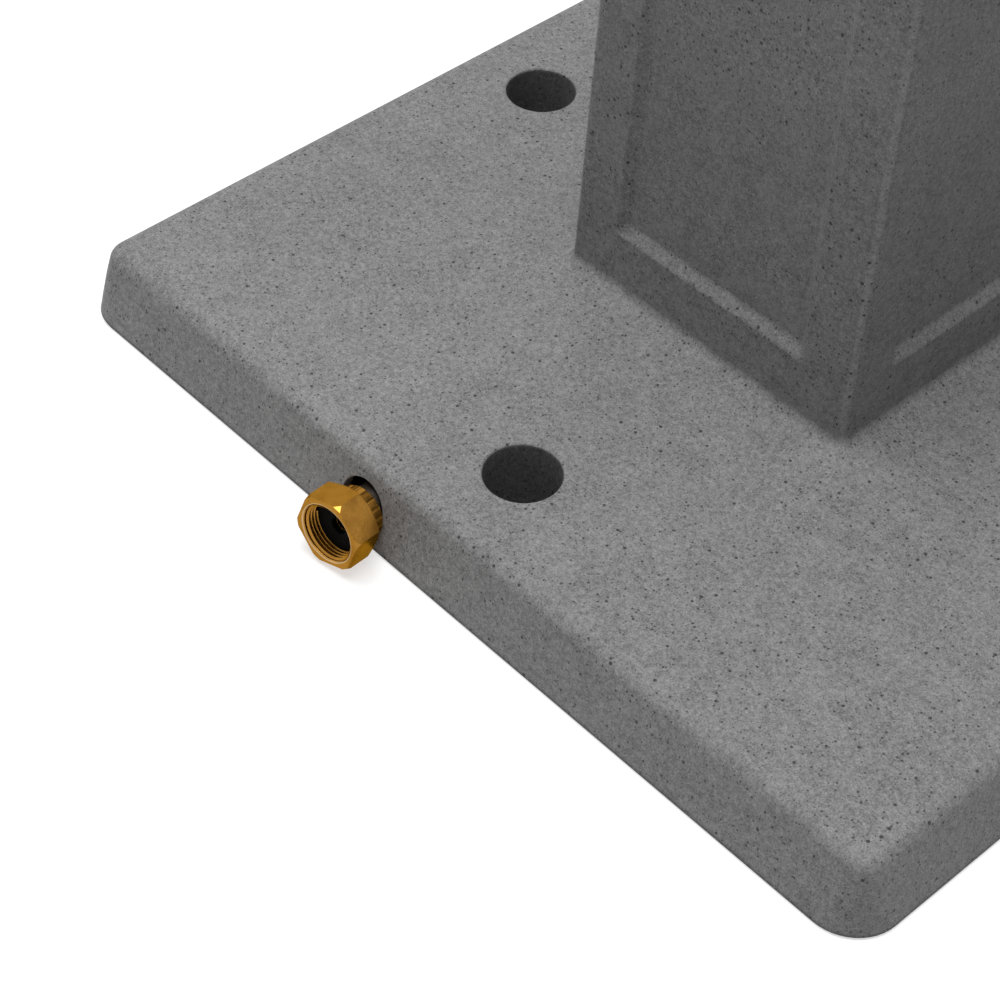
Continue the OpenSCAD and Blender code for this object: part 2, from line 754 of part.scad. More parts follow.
module jumper() {
    color(brass) at_valve() union() {
        translate([0, 0, disc_z]) cylinder(h = disc_t, r = washer_r);
        translate([0, 0, disc_z + disc_t - e]) cylinder(h = pin_l + e, r = pin_r);
        translate([0, 0, valve_z - 3.4]) cylinder(h = tap_washer_t + 3.4 + e, r = stud_r);
    }
}

module tap_washer() {
    color(rubber) at_valve() ring(valve_z, disc_z, washer_r, stud_r + run);
}

module washer_nut() {
    color(brass) at_valve() difference() {
        hex(valve_z - 3, valve_z, 8, upper = false);
        translate([0, 0, valve_z - 5]) cylinder(h = 10, r = stud_r + run);
    }
}

module tee_handle() {
    mid = handle_z + hub_h / 2;
    top = handle_z + hub_h;
    color(brass) at_valve() difference() {
        union() {
            rotate_extrude() polygon([
                [0, handle_z], [hub_r - 2, handle_z], [hub_r, handle_z + 2.5], [hub_r, top - 2],
                [hub_r - 1.5, top], [0, top]
            ]);
            for (s = [-1, 1]) translate([0, 0, mid]) rotate([0, 90 * s, 0]) rotate_extrude() polygon([
                [0, 0], [5.2, 0], [4.2, 12], [3.8, handle_reach - 5], [0, handle_reach - 5]
            ]);
            for (s = [-1, 1]) translate([s * handle_reach, 0, mid]) sphere(r = 5.6);
        }
        translate([-square_w / 2 - slack, -square_w / 2 - slack, handle_z - e])
            cube([square_w + 2 * slack, square_w + 2 * slack, hub_h]);
        translate([0, 0, handle_z]) cylinder(h = hub_h + e, r = screw_r + 0.4);
    }
}

module handle_screw() {
    top = handle_z + hub_h;
    color(brass) at_valve() difference() {
        rotate_extrude() polygon([
            [0, top - 8], [screw_r, top - 8], [screw_r, top], [4, top], [4, top + 1.2], [2.8, top + 2.4],
            [0, top + 2.8]
        ]);
        translate([-5, -0.5, top + 1.3]) cube([10, 1, 4]);
    }
}

module outlet_washer() {
    color(rubber) at_spout() ring(nozzle_z, nozzle_z + washer_t, outlet_thread_r - 0.4, 7);
}

module outlet_nut() {
    z0 = nozzle_z - nozzle_flange_t - outlet_floor;
    color(brass) at_spout() difference() {
        hex(z0, z0 + outlet_nut_l, outlet_nut_af);
        translate([0, 0, z0 + outlet_floor]) cylinder(h = 40, r = outlet_thread_r + slack);
        translate([0, 0, z0 - e]) cylinder(h = 10, r = nozzle_r + slack);
    }
}

// The nozzle has a flange inside the nut, three barbs and a plain tip
module outlet_nozzle() {
    under = nozzle_z - nozzle_flange_t - outlet_floor;
    barb = 5;
    lip = 0.9;
    color(brass) at_spout() difference() {
        union() {
            translate([0, 0, nozzle_z - nozzle_flange_t])
                cylinder(h = nozzle_flange_t, r = outlet_thread_r - 0.6);
            translate([0, 0, under - nozzle_l]) cylinder(h = nozzle_l + outlet_floor + e, r = nozzle_r);
            for (k = [0:2]) rotate_extrude() translate([0, under - 7 - barb * (k + 1)]) polygon([
                [0, 0], [nozzle_r - 0.1, 0], [nozzle_r + lip, barb - 1], [nozzle_r + lip, barb - 0.5],
                [nozzle_r - 0.1, barb - 0.2], [0, barb - 0.2]
            ]);
        }
        translate([0, 0, under - nozzle_l - e]) cylinder(h = nozzle_l + 20, r = 6.2);
    }
}

post_shell();
top_cap();
cap_screws();
cap_inserts();
supply_hose();
inlet_swivel_nut();
inlet_washer();
inlet_tail();
inlet_ferrule();
upper_ferrule();
upper_tail();
upper_washer();
upper_union_nut();
elbow();
back_nut();
backing_washer();
wall_flange();
tap_body();
bonnet_washer();
bonnet();
gland_packing();
gland_nut();
spindle();
jumper();
tap_washer();
washer_nut();
tee_handle();
handle_screw();
outlet_washer();
outlet_nut();
outlet_nozzle();
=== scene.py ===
"""Looks of the garden standpipe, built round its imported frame.

Sizes in the code are millimetres, as on a drawing, and MM turns them into metres.
The tap faces -Y, the inlet comes out at +Y and +Z is up.
"""

import json
import math

import bmesh
import bpy
from mathutils import Matrix, Vector

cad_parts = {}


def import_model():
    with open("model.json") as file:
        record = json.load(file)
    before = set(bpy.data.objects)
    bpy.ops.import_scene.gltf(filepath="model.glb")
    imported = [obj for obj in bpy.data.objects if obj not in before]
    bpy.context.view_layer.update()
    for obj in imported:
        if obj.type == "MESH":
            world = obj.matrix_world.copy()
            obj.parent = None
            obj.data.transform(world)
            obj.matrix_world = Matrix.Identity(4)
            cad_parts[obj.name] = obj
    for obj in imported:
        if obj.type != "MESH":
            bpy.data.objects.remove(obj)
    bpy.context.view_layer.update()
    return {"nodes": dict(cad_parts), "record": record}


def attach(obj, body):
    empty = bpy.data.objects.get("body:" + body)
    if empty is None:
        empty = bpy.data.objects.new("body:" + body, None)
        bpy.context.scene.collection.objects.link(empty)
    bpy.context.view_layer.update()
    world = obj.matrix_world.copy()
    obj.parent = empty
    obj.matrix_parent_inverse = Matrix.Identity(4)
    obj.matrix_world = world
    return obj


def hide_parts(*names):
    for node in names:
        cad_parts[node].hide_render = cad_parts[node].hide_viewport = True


MM = 0.001

# The moulding
PLATE_HALF = 240.0
PLATE_TOP_HALF = 229.5
PLATE_H = 37.0
EDGE_R = 8.0
# Radius of the plate's upright corners at the ground, and how much it loses a millimetre further up
CORNER_R = 22
CORNER_TAPER = 0.455
FOOT_R = 6.0
FLARE_HALF = 163.0
FLARE_RISE = 7.0
WALL = 5.0
ANCHOR_R = 17.0
ANCHOR_PCD = 372.0
COLUMN_HALF = 81.5
COLUMN_CORNER_R = 4.6
RIM_HALF = 66.0
RIM_Z = 950.0
PANEL_Z0 = 74.0
PANEL_Z1 = 916.0
PANEL_MARGIN = 26.0
PANEL_DEPTH = 4.0
PANEL_SLOPE = 4.8

# The inlet's hole in the plate's back
INLET_X = 45.4
INLET_Z = 14.8
INLET_HOLE_R = 12.8
HOLE_Y = PLATE_HALF - (PLATE_HALF - PLATE_TOP_HALF) * INLET_Z / PLATE_H

# The inlet's fittings, as distances along their own leaning axis
FITTING = (INLET_X - 2.9, HOLE_Y, INLET_Z + 1.8)
LEAN_SIDE = 6.5
LEAN_UP = 6.0
NUT_FRONT = PLATE_HALF + 19.7
NUT_L = 15.0
NUT_BACK = NUT_FRONT - NUT_L
NUT_AF = 31.0
NUT_TURN = 14.0
NUT_FACE_R = NUT_AF / 2 / math.cos(math.radians(30)) - 1.1
THREAD_R = 13.2
THREAD_PITCH = 1.814
NECK_R = 8.1
FLANGE_BACK = NUT_BACK + 2.8
FLANGE_FRONT = FLANGE_BACK + 2
WASHER_FRONT = FLANGE_FRONT + 2
COLLAR_R = 11.8
COLLAR_L = 5.3
COLLAR_SKIRT = 1.8
FERRULE_END = NUT_BACK - 0.3 - COLLAR_L
FERRULE_L = 27.0
FERRULE_FLOOR = 3.0
HOSE_R = 7.6
FERRULE_R = HOSE_R + 1.5
SPIGOT_R = 5.2
TAIL_BORE_R = 4.2

# The tap
TAP_Z = 830.0
PAD_Y = -66.0375
VALVE_OUT = 52.0
SPOUT_OUT = 42.0
VALVE_Y = PAD_Y - VALVE_OUT
SPOUT_Y = VALVE_Y - SPOUT_OUT
HOSE_AXIS_Y = PAD_Y + 47.0
ARM_R = 10.5
ARM_Z = 12.5
BEND_R = 22.0
BEND_Y = BEND_R - SPOUT_OUT
SEAT_Z = 6.0
CHAMBER_TOP = 27.0
BONNET_Z = CHAMBER_TOP + 1.2
NECK_TOP = BONNET_Z + 24.0
HANDLE_Z = NECK_TOP + 8.6
HUB_H = 11.5
OUTLET_Z = -16.0
NOZZLE_Z = OUTLET_Z - 16.0
OUTLET_NUT_Z = NOZZLE_Z - 5.5
UPPER_FERRULE_END = TAP_Z - 38.0

# The cap
CAP_Z = 936.0
CAP_BROW = 957.5
CAP_TOP = 970.5
CAP_HALF = 70.74
CAP_CORNER_R = 9.6
CAP_SCREW_Z = 943.0


def column_half(z):
    """Half of the column's width at a height."""
    return COLUMN_HALF - (COLUMN_HALF - RIM_HALF) * (z - PLATE_H) / (RIM_Z - PLATE_H)


# Hand tools


def only(obj):
    """Select one object alone and make it active, out of edit mode."""
    if bpy.context.mode != "OBJECT":
        bpy.ops.object.mode_set(mode="OBJECT")
    bpy.ops.object.select_all(action="DESELECT")
    obj.select_set(True)
    bpy.context.view_layer.objects.active = obj
    return obj


def fresh(name):
    """Name the primitive that was just added and put its place into its mesh."""
    obj = bpy.context.active_object
    obj.name = name
    obj.data.name = name
    only(obj)
    bpy.ops.object.transform_apply(location=True, rotation=True, scale=True)
    return obj


def edit(obj, kind="FACE"):
    only(obj)
    bpy.ops.object.mode_set(mode="EDIT")
    bpy.ops.mesh.select_mode(type=kind)


def done(obj):
    bpy.ops.object.mode_set(mode="OBJECT")
    return obj


def take_all():
    bpy.ops.mesh.select_all(action="SELECT")


def faced(obj):
    """Turn every face outward and leave edit mode."""
    take_all()
    bpy.ops.mesh.normals_make_consistent(inside=False)
    return done(obj)


def pick(obj, kind, test):
    """In edit mode, select the points, edges or faces that pass a test."""
    bpy.ops.mesh.select_mode(type=kind)
    bpy.ops.mesh.select_all(action="DESELECT")
    mesh = bmesh.from_edit_mesh(obj.data)
    for item in {"VERT": mesh.verts, "EDGE": mesh.edges, "FACE": mesh.faces}[kind]:
        if test(item):
            item.select_set(True)
    mesh.select_flush_mode()
    bmesh.update_edit_mesh(obj.data)


def ends(edge, test):
    """Both ends of an edge, in millimetres, pass a test."""
    return all(test(*(v.co / MM)) for v in edge.verts)


def near(a, b, slack=0.05):
    return abs(a - b) < slack


def bevel(width, segments):
    """Round the selected edges."""
    bpy.ops.mesh.bevel(offset=width * MM, segments=segments, affect="EDGES", clamp_overlap=True)


def box(name, x, y, z):
    """A block between the given ends along each axis."""
    middle = [(a + b) / 2 * MM for a, b in (x, y, z)]
    size = [(b - a) * MM for a, b in (x, y, z)]
    bpy.ops.mesh.primitive_cube_add(size=1, location=middle, scale=size)
    return fresh(name)


def rod(name, z0, z1, radius, sides=64):
    """A round bar along Z."""
    bpy.ops.mesh.primitive_cylinder_add(vertices=sides, radius=radius * MM, depth=(z1 - z0) * MM,
                                        location=(0, 0, (z0 + z1) / 2 * MM))
    return fresh(name)


def turned(name, profile, steps=64):
    """A turned piece about Z: one point is extruded along (radius, height) places and spun."""
    bpy.ops.mesh.primitive_plane_add(size=0.0001)
    obj = fresh(name)
    edit(obj, "VERT")
    take_all()
    bpy.ops.mesh.merge(type="CENTER")
    bpy.ops.transform.translate(value=(profile[0][0] * MM, 0, profile[0][1] * MM))
    for (r0, z0), (r1, z1) in zip(profile, profile[1:]):
        move = ((r1 - r0) * MM, 0, (z1 - z0) * MM)
        bpy.ops.mesh.extrude_region_move(TRANSFORM_OT_translate={"value": move})
    take_all()
    bpy.ops.mesh.spin(steps=steps, angle=2 * math.pi, center=(0, 0, 0), axis=(0, 0, 1))
    take_all()
    bpy.ops.mesh.remove_doubles(threshold=2e-6)
    bpy.ops.mesh.dissolve_degenerate(threshold=1e-6)
    return faced(obj)


def place(obj, move=(0, 0, 0), turns=()):
    """Turn a piece about the row's axes, then move it, with the place put into its mesh."""
    matrix = Matrix.Identity(4)
    for axis, degrees in turns:
        matrix = Matrix.Rotation(math.radians(degrees), 4, axis) @ matrix
    obj.matrix_world = Matrix.Translation(Vector(move) * MM) @ matrix
    only(obj)
    bpy.ops.object.transform_apply(location=True, rotation=True, scale=True)
    return obj


def copy_of(obj, name):
    twin = obj.copy()
    twin.data = obj.data.copy()
    twin.name = name
    twin.data.name = name
    bpy.context.scene.collection.objects.link(twin)
    return twin


def joined(first, *others):
    """Several pieces as one object, each still its own closed shell."""
    only(first)
    for other in others:
        other.select_set(True)
    bpy.ops.object.join()
    return first


def apply(obj, kind, name, **settings):
    """Add a modifier, set it and apply it."""
    modifier = obj.modifiers.new(name, kind)
    for key, value in settings.items():
        setattr(modifier, key, value)
    only(obj)
    bpy.ops.object.modifier_apply(modifier=modifier.name)
    return obj


def cut(obj, tool, how="DIFFERENCE"):
    """Cut a tool out of a piece, or unite or intersect the two. The tool is used up."""
    apply(obj, "BOOLEAN", "cut", operation=how, solver="EXACT", object=tool)
    bpy.data.objects.remove(tool, do_unlink=True)
    return obj


def smooth(obj, angle=35):
    """Smooth shading that keeps flat faces flat."""
    only(obj)
    bpy.ops.object.shade_smooth_by_angle(angle=math.radians(angle))
    return apply(obj, "WEIGHTED_NORMAL", "flat faces", keep_sharp=True, weight=80)


def soften(obj, width, segments=2, angle=28):
    """Round every edge that is sharper than an angle, then shade the piece."""
    apply(obj, "BEVEL", "soft edges", width=width * MM, segments=segments, limit_method="ANGLE",
          angle_limit=math.radians(angle), use_clamp_overlap=True)
    return smooth(obj)


# The moulding


def plate_half(z):
    """Half of the plate's width at a height."""
    return PLATE_HALF - (PLATE_HALF - PLATE_TOP_HALF) * z / PLATE_H


def flared(half):
    """Height of the plate's upper face: flat round the holes, then sweeping up to the column."""
    t = max(0, (FLARE_HALF - half) / (FLARE_HALF - COLUMN_HALF))
    return PLATE_H + 0.02 + FLARE_RISE * t * t


def arc(middle, radius, start, stop, steps):
    """Levels (half width, height) round an arc, between two angles in degrees."""
    turns = [math.radians(start + (stop - start) * i / steps) for i in range(steps + 1)]
    return [(middle[0] + radius * math.cos(a), middle[1] + radius * math.sin(a)) for a in turns]


def plate_edge():
    """Middle of the arc round the plate's upper edge, and the side's lean in degrees."""
    lean = math.atan((PLATE_HALF - PLATE_TOP_HALF) / PLATE_H)
    z = PLATE_H - EDGE_R
    return (plate_half(z) - EDGE_R / math.cos(lean), z), math.degrees(lean)


def outer_levels():
    """The post from outside, with each level's corner radius: side, edge, flare, foot, column."""
    middle, lean = plate_edge()
    levels = [(PLATE_HALF - 1.4, 0, CORNER_R - 0.4), (PLATE_HALF - 0.7, 0.4, CORNER_R),
              (plate_half(1.3), 1.3, CORNER_R - 0.4)]
    levels += [(plate_half(z), z, CORNER_R - CORNER_TAPER * z) for z in (7, 14, 21)]
    edge = arc(middle, EDGE_R, lean, 90, 9)
    levels += [(half, z, 8.8 - 0.55 * (edge[0][0] - half)) for half, z in edge]
    levels += [(half, flared(half), 5) for half in (FLARE_HALF, 150, 138, 127, 116, 106, 97)]
    foot = COLUMN_HALF + FOOT_R - 0.1
    levels += [(*level, COLUMN_CORNER_R)
               for level in arc((foot, flared(foot) + FOOT_R - 0.05), FOOT_R, 261, 181, 7)]
    return [*levels, (RIM_HALF, RIM_Z, COLUMN_CORNER_R)]


def inner_levels():
    """The hollow under the plate and up the column."""
    middle, lean = plate_edge()
    levels = [(PLATE_HALF - WALL, -20, 17), (PLATE_HALF - WALL, 0, 17)]
    levels += [(*level, 12) for level in arc(middle, EDGE_R - WALL, lean, 90, 5)]
    levels += [(*level, 3) for level in arc((COLUMN_HALF + FOOT_R, PLATE_H + FOOT_R + 0.02),
                                            FOOT_R + WALL, 270, 181, 8)]
    return [*levels, (RIM_HALF - WALL, RIM_Z, 3), (RIM_HALF - WALL, RIM_Z + 10, 3)]


def stacked(name, levels):
    """A closed body drawn up through squares, each with a half width, height and corner radius.

    No two levels share a height, because the height is what finds a level's points."""
    half, z, corner = levels[0]
    bpy.ops.mesh.primitive_plane_add(size=2 * half * MM, location=(0, 0, z * MM))
    obj = fresh(name)
    edit(obj, "VERT")
    take_all()
    bpy.ops.mesh.bevel(offset=corner * MM, segments=12, affect="VERTICES", clamp_overlap=False)
    bpy.ops.mesh.select_mode(type="FACE")
    take_all()
    for (half0, z0, corner0), (half1, z1, corner1) in zip(levels, levels[1:]):
        bpy.ops.mesh.extrude_region_move(TRANSFORM_OT_translate={"value": (0, 0, (z1 - z0) * MM)})
        k = half1 / half0
        bpy.ops.transform.resize(value=(k, k, 1), center_override=(0, 0, 0))
        turn = corner1 / (corner0 * k)
        if near(turn, 1, 0.001):
            continue
        for a, b in ((1, 1), (-1, 1), (-1, -1), (1, -1)):
            pick(obj, "VERT", lambda v: (near(v.co.z / MM, z1, 0.01)
                                         and v.co.x * a > 0 and v.co.y * b > 0))
            bpy.ops.transform.resize(value=(turn, turn, 1),
                                     center_override=(a * half1 * MM, b * half1 * MM, 0))
        pick(obj, "FACE", lambda f: all(near(v.co.z / MM, z1, 0.01) for v in f.verts))
    return faced(obj)


def sink_panels(obj, wall, slope, depth, corner, soft):
    """Sink one panel into each face of the column, with rounded corners and soft edges."""
    upright = lambda f: abs(f.normal.z) < 0.1 and f.calc_area() > 0.05
    edit(obj)
    pick(obj, "FACE", upright)
    bpy.ops.mesh.inset(thickness=(PANEL_MARGIN - corner) * MM, depth=0, use_individual=True)

    def slide(test, goal):
        """Move a panel's lower or upper edge along the face to its height."""
        pick(obj, "VERT", test)
        mesh = bmesh.from_edit_mesh(obj.data)
        z = next(v.co.z / MM for v in mesh.verts if v.select)
        k = (column_half(goal) - wall) / (column_half(z) - wall)
        bpy.ops.transform.translate(value=(0, 0, (goal - z) * MM))
        bpy.ops.transform.resize(value=(k, k, 1), center_override=(0, 0, 0))

    inside = lambda v: (v.co.z / MM > PLATE_H + 12 and min(abs(v.co.x), abs(v.co.y)) / MM
                        < column_half(v.co.z / MM) - wall - PANEL_MARGIN + corner + 1)
    slide(lambda v: inside(v) and 50 < v.co.z / MM < 90, PANEL_Z0)
    slide(lambda v: inside(v) and 880 < v.co.z / MM < 940, PANEL_Z1)
    pick(obj, "FACE", lambda f: upright(f) and all(
        PANEL_Z0 - 1 < v.co.z / MM < PANEL_Z1 + 1 for v in f.verts))
    bpy.ops.mesh.inset(thickness=slope * MM, depth=-depth * MM, use_individual=True)
    if soft:
        diagonal = lambda e: ends(e, lambda x, y, z: (PANEL_Z0 - 1 < z < PANEL_Z0 + slope + 1
                                                      or PANEL_Z1 - slope - 1 < z < PANEL_Z1 + 1)
                                  and min(abs(x), abs(y)) > 20) and 3 < e.calc_length() / MM < 12
        pick(obj, "EDGE", diagonal)
        bevel(soft * 1.6, 4)
        rims = lambda e: len(e.link_faces) == 2 and all(
            PANEL_Z0 - 1 < v.co.z / MM < PANEL_Z1 + 1 for v in e.verts) and (
            0.35 < e.calc_face_angle(0) < 1.2) and min(
            max(abs(v.co.x), abs(v.co.y)) / MM - column_half(v.co.z / MM) for v in e.verts
        ) > -depth - 1 and all(
            min(abs(v.co.x), abs(v.co.y)) / MM < column_half(v.co.z / MM) - 20 for v in e.verts)
        pick(obj, "EDGE", rims)
        bevel(soft, 4)
    return done(obj)


def anchor_places():
    r = ANCHOR_PCD / 2
    return [(r, 0), (0, r), (-r, 0), (0, -r)]


def bars(name, radius, z0, z1, sides):
    """One upright bar at each anchor hole."""
    first = rod(name, z0, z1, radius, sides)
    twins = [copy_of(first, f"{name}_{i}") for i in range(1, 4)]
    for bar, (x, y) in zip([first, *twins], anchor_places()):
        place(bar, (x, y, 0))
    return joined(first, *twins)


def side_drills(name, start, radius):
    """Two level bars through the column's sides, for the cap's screws."""
    return [place(rod(name, start, 76, radius, 24), (0, 0, CAP_SCREW_Z), [("Y", side)])
            for side in (90, -90)]


def moulding():
    """The post: one hollow moulding, open below, with bosses round its four anchor holes."""
    post = stacked("moulding", outer_levels())
    sink_panels(post, 0, PANEL_SLOPE, PANEL_DEPTH, COLUMN_CORNER_R, 1.5)
    pad = rod("pad", 0, 8.5, 27, 96)
    edit(pad, "EDGE")
    pick(pad, "EDGE", lambda e: ends(e, lambda x, y, z: near(z, 0)))
    bevel(0.9, 3)
    done(pad)
    place(pad, (0, PAD_Y, TAP_Z), [("X", -90)])
    hollow = stacked("hollow", inner_levels())
    sink_panels(hollow, WALL, PANEL_SLOPE, PANEL_DEPTH, 3, 0)
    cut(hollow, bars("bosses", ANCHOR_R + WALL, -40, 60, 48))
    cut(post, hollow)
    cut(post, pad, "UNION")
    drills = bars("drills", ANCHOR_R, -10, 60, 80)
    inlet = place(rod("inlet drill", 219.5, 245, INLET_HOLE_R, 72), (INLET_X, 0, INLET_Z), [("X", -90)])
    shank = place(rod("shank drill", -4, 14, 10.5, 48), (0, PAD_Y, TAP_Z), [("X", -90)])
    cut(post, joined(drills, inlet, shank, *side_drills("screw drill", 56, 4.05)))
    edit(post, "EDGE")
    holes = anchor_places()
    pick(post, "EDGE", lambda e: ends(e, lambda x, y, z: near(z, PLATE_H) and any(
        near(math.hypot(x - a, y - b), ANCHOR_R) for a, b in holes)))
    bevel(1.2, 3)
    pick(post, "EDGE", lambda e: ends(e, lambda x, y, z: y > 229 and near(
        math.hypot(x - INLET_X, z - INLET_Z), INLET_HOLE_R) and y > plate_half(z) - 0.3))
    bevel(0.8, 3)
    done(post)
    smooth(post)
    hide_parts("post_shell")
    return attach(post, "post")


# Turned, hexagonal and swept pieces


def hexagon(name, z0, z1, across, turn=0, low=0.0, high=0.0, face=0.0):
    """A hexagon along Z whose ends are turned down by the given depths, to a face of its own radius."""
    corner = across / 2 / math.cos(math.radians(30))
    bpy.ops.mesh.primitive_cylinder_add(vertices=6, radius=corner * MM, depth=(z1 - z0) * MM,
                                        location=(0, 0, (z0 + z1) / 2 * MM))
    obj = fresh(name)
    first = obj.data.vertices[0].co
    place(obj, turns=[("Z", turn - math.degrees(math.atan2(first.y, first.x)))])
    flat, wide = across / 2 + 0.1, corner + 0.4
    profile = [(0, z0 - 1), (wide, z0 - 1), (wide, z1 + 1), (0, z1 + 1)]
    if low:
        profile[1:2] = [(0.001, z0), (flat - 0.4, z0), (wide, z0 + low)]
        profile[0] = (0, z0)
    if high:
        profile[-2:-1] = [(corner + 0.05, z1 - high), (face or flat - 0.4, z1)]
        profile[-3:-3] = [(wide, z1 - high - 0.5)] if face else []
        profile[-1] = (0, z1)
    return cut(obj, turned(f"{name} lathe", profile, 96), "INTERSECT")


def at_inlet(obj):
    """Put a piece into the frame of the inlet's leaning fittings."""
    x, y, z = FITTING
    return place(place(obj, (0, -y, 0), [("X", -90)]), (x, y, z), [("X", LEAN_UP), ("Z", LEAN_SIDE)])


def thread_ridge(name, radius, depth, pitch, z0, z1, inward=True):
    """One turning ridge of a pipe thread: a small blunt tooth, screwed round the axis."""
    turns = (z1 - z0) / pitch
    out = -1 if inward else 1
    root = radius - out * 0.15
    bpy.ops.mesh.primitive_plane_add(size=1)
    obj = fresh(name)
    tooth = [(root, -0.47), (radius + out * depth, -0.09), (radius + out * depth, 0.09), (root, 0.47)]
    for vertex, (r, z) in zip((obj.data.vertices[i] for i in (0, 1, 3, 2)), tooth):
        vertex.co = (r * MM, 0, (z0 + pitch * z) * MM)
    apply(obj, "SCREW", "helix", angle=2 * math.pi * turns, screw_offset=(z1 - z0) * MM,
          steps=round(72 * turns), render_steps=round(72 * turns), axis="Z", use_merge_vertices=False)
    edit(obj, "EDGE")
    bpy.ops.mesh.select_all(action="DESELECT")
    bpy.ops.mesh.select_non_manifold()
    bpy.ops.mesh.fill_holes(sides=4)
    return smooth(faced(obj), 50)


def crimped(name, z0, z1):
    """A crimped sleeve, closed in round the tail at its upper end, with three shallow crimps."""
    body = z1 - z0
    dip = 0.42
    outside = [(FERRULE_R - 0.5, z0), (FERRULE_R, z0 + 0.5)]
    for k in range(3):
        middle = z0 + body * (0.25 + 0.22 * k)
        outside += [(FERRULE_R, middle - 2.2), (FERRULE_R - dip * 0.8, middle - 1.3),
                    (FERRULE_R - dip, middle - 0.7), (FERRULE_R - dip, middle + 0.7),
                    (FERRULE_R - dip * 0.8, middle + 1.3), (FERRULE_R, middle + 2.2)]
    outside += [(FERRULE_R, z1 - 1.4), (FERRULE_R - 0.4, z1 - 0.4), (FERRULE_R - 1.3, z1)]
    profile = [(HOSE_R + 0.1, z0), *outside, (SPIGOT_R + 0.1, z1), (SPIGOT_R + 0.1, z1 - FERRULE_FLOOR),
               (HOSE_R + 0.1, z1 - FERRULE_FLOOR), (HOSE_R + 0.1, z0)]
    return smooth(turned(name, profile, 72), 32)


def inlet_nut():
    """The swivel nut: hexagon, turned-down ends, relief, thread and a soft mouth."""
    floor = NUT_BACK + 2.5
    obj = hexagon("swivel_nut", NUT_BACK, NUT_FRONT, NUT_AF, NUT_TURN, 1.9, 2.6, NUT_FACE_R)
    bore = turned("nut bore", [(0, NUT_BACK - 2), (NECK_R + 0.05, NUT_BACK - 2), (NECK_R + 0.05, floor),
                               (THREAD_R + 0.3, floor), (THREAD_R + 0.3, WASHER_FRONT),
                               (THREAD_R, WASHER_FRONT + 0.3), (THREAD_R, NUT_FRONT - 0.7),
                               (THREAD_R + 0.6, NUT_FRONT), (THREAD_R + 0.6, NUT_FRONT + 2),
                               (0, NUT_FRONT + 2)], 96)
    cut(obj, bore)
    soften(obj, 0.36, 4)
    ridge = thread_ridge("nut thread", THREAD_R, 1.0, THREAD_PITCH, WASHER_FRONT + 0.2, NUT_FRONT - 1.0)
    at_inlet(joined(obj, ridge))
    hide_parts("inlet_swivel_nut")
    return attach(obj, "inlet_nut")


def inlet_tail():
    """The brass tail: spigot in the hose, scalloped collar with a skirt over the sleeve's end,
    neck and the flange inside the nut."""
    back, skirt = FERRULE_END - FERRULE_L, FERRULE_END - COLLAR_SKIRT
    obj = turned("hose_tail", [
        (TAIL_BORE_R, back), (SPIGOT_R - 0.3, back), (SPIGOT_R, back + 0.6), (SPIGOT_R, FERRULE_END),
        (FERRULE_R + 0.25, FERRULE_END), (FERRULE_R + 0.25, skirt),
        (COLLAR_R - 0.6, skirt), (COLLAR_R, skirt + 0.6),
        (COLLAR_R, FERRULE_END + COLLAR_L - 1.1), (COLLAR_R - 0.9, FERRULE_END + COLLAR_L - 0.2),
        (COLLAR_R - 1.6, FERRULE_END + COLLAR_L), (NECK_R, FERRULE_END + COLLAR_L),
        (NECK_R, FLANGE_BACK), (THREAD_R - 1.1, FLANGE_BACK), (THREAD_R - 0.9, FLANGE_BACK + 0.2),
        (THREAD_R - 0.9, FLANGE_FRONT), (TAIL_BORE_R + 0.5, FLANGE_FRONT),
        (TAIL_BORE_R, FLANGE_FRONT - 0.5), (TAIL_BORE_R, back)], 144)
    first = rod("flute", skirt - 1, FERRULE_END + COLLAR_L + 0.15, 1.05, 20)
    place(first, (COLLAR_R + 0.45, 0, 0))
    others = [place(copy_of(first, f"flute_{k}"), turns=[("Z", 20 * k)]) for k in range(1, 18)]
    cut(obj, joined(first, *others))
    soften(obj, 0.22, 2)
    at_inlet(obj)
    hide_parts("inlet_tail")
    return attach(obj, "post")


def inlet_washer():
    """The rubber washer in the nut, with rounded lips."""
    low, high, bore, rim = FLANGE_FRONT, WASHER_FRONT + 0.9, TAIL_BORE_R - 0.35, THREAD_R - 1.25
    obj = turned("nut_washer", [(bore, low), (rim, low), (rim, high - 0.5), (rim - 0.15, high - 0.15),
                                (rim - 0.5, high), (bore + 0.6, high), (bore + 0.2, high - 0.15),
                                (bore, high - 0.6), (bore, low)], 72)
    at_inlet(smooth(obj, 50))
    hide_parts("inlet_washer")
    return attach(obj, "post")


def ferrules():
    """Both crimped sleeves on the supply hose."""
    pieces = []
    for node in ("inlet_ferrule", "upper_ferrule"):
        if node == "inlet_ferrule":
            obj = at_inlet(crimped("inlet_sleeve", FERRULE_END - FERRULE_L, FERRULE_END))
        else:
            obj = crimped("upper_sleeve", UPPER_FERRULE_END - FERRULE_L, UPPER_FERRULE_END)
            place(obj, (0, HOSE_AXIS_Y, 0))
        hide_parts(node)
        pieces.append(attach(obj, "post"))
    return pieces


def inlet_point(y):
    """A place on the leaning axis of the inlet's fittings."""
    up, side = math.radians(LEAN_UP), math.radians(LEAN_SIDE)
    way = Vector((-math.cos(up) * math.sin(side), math.cos(up) * math.cos(side), math.sin(up)))
    return Vector(FITTING) + (y - HOLE_Y) * way


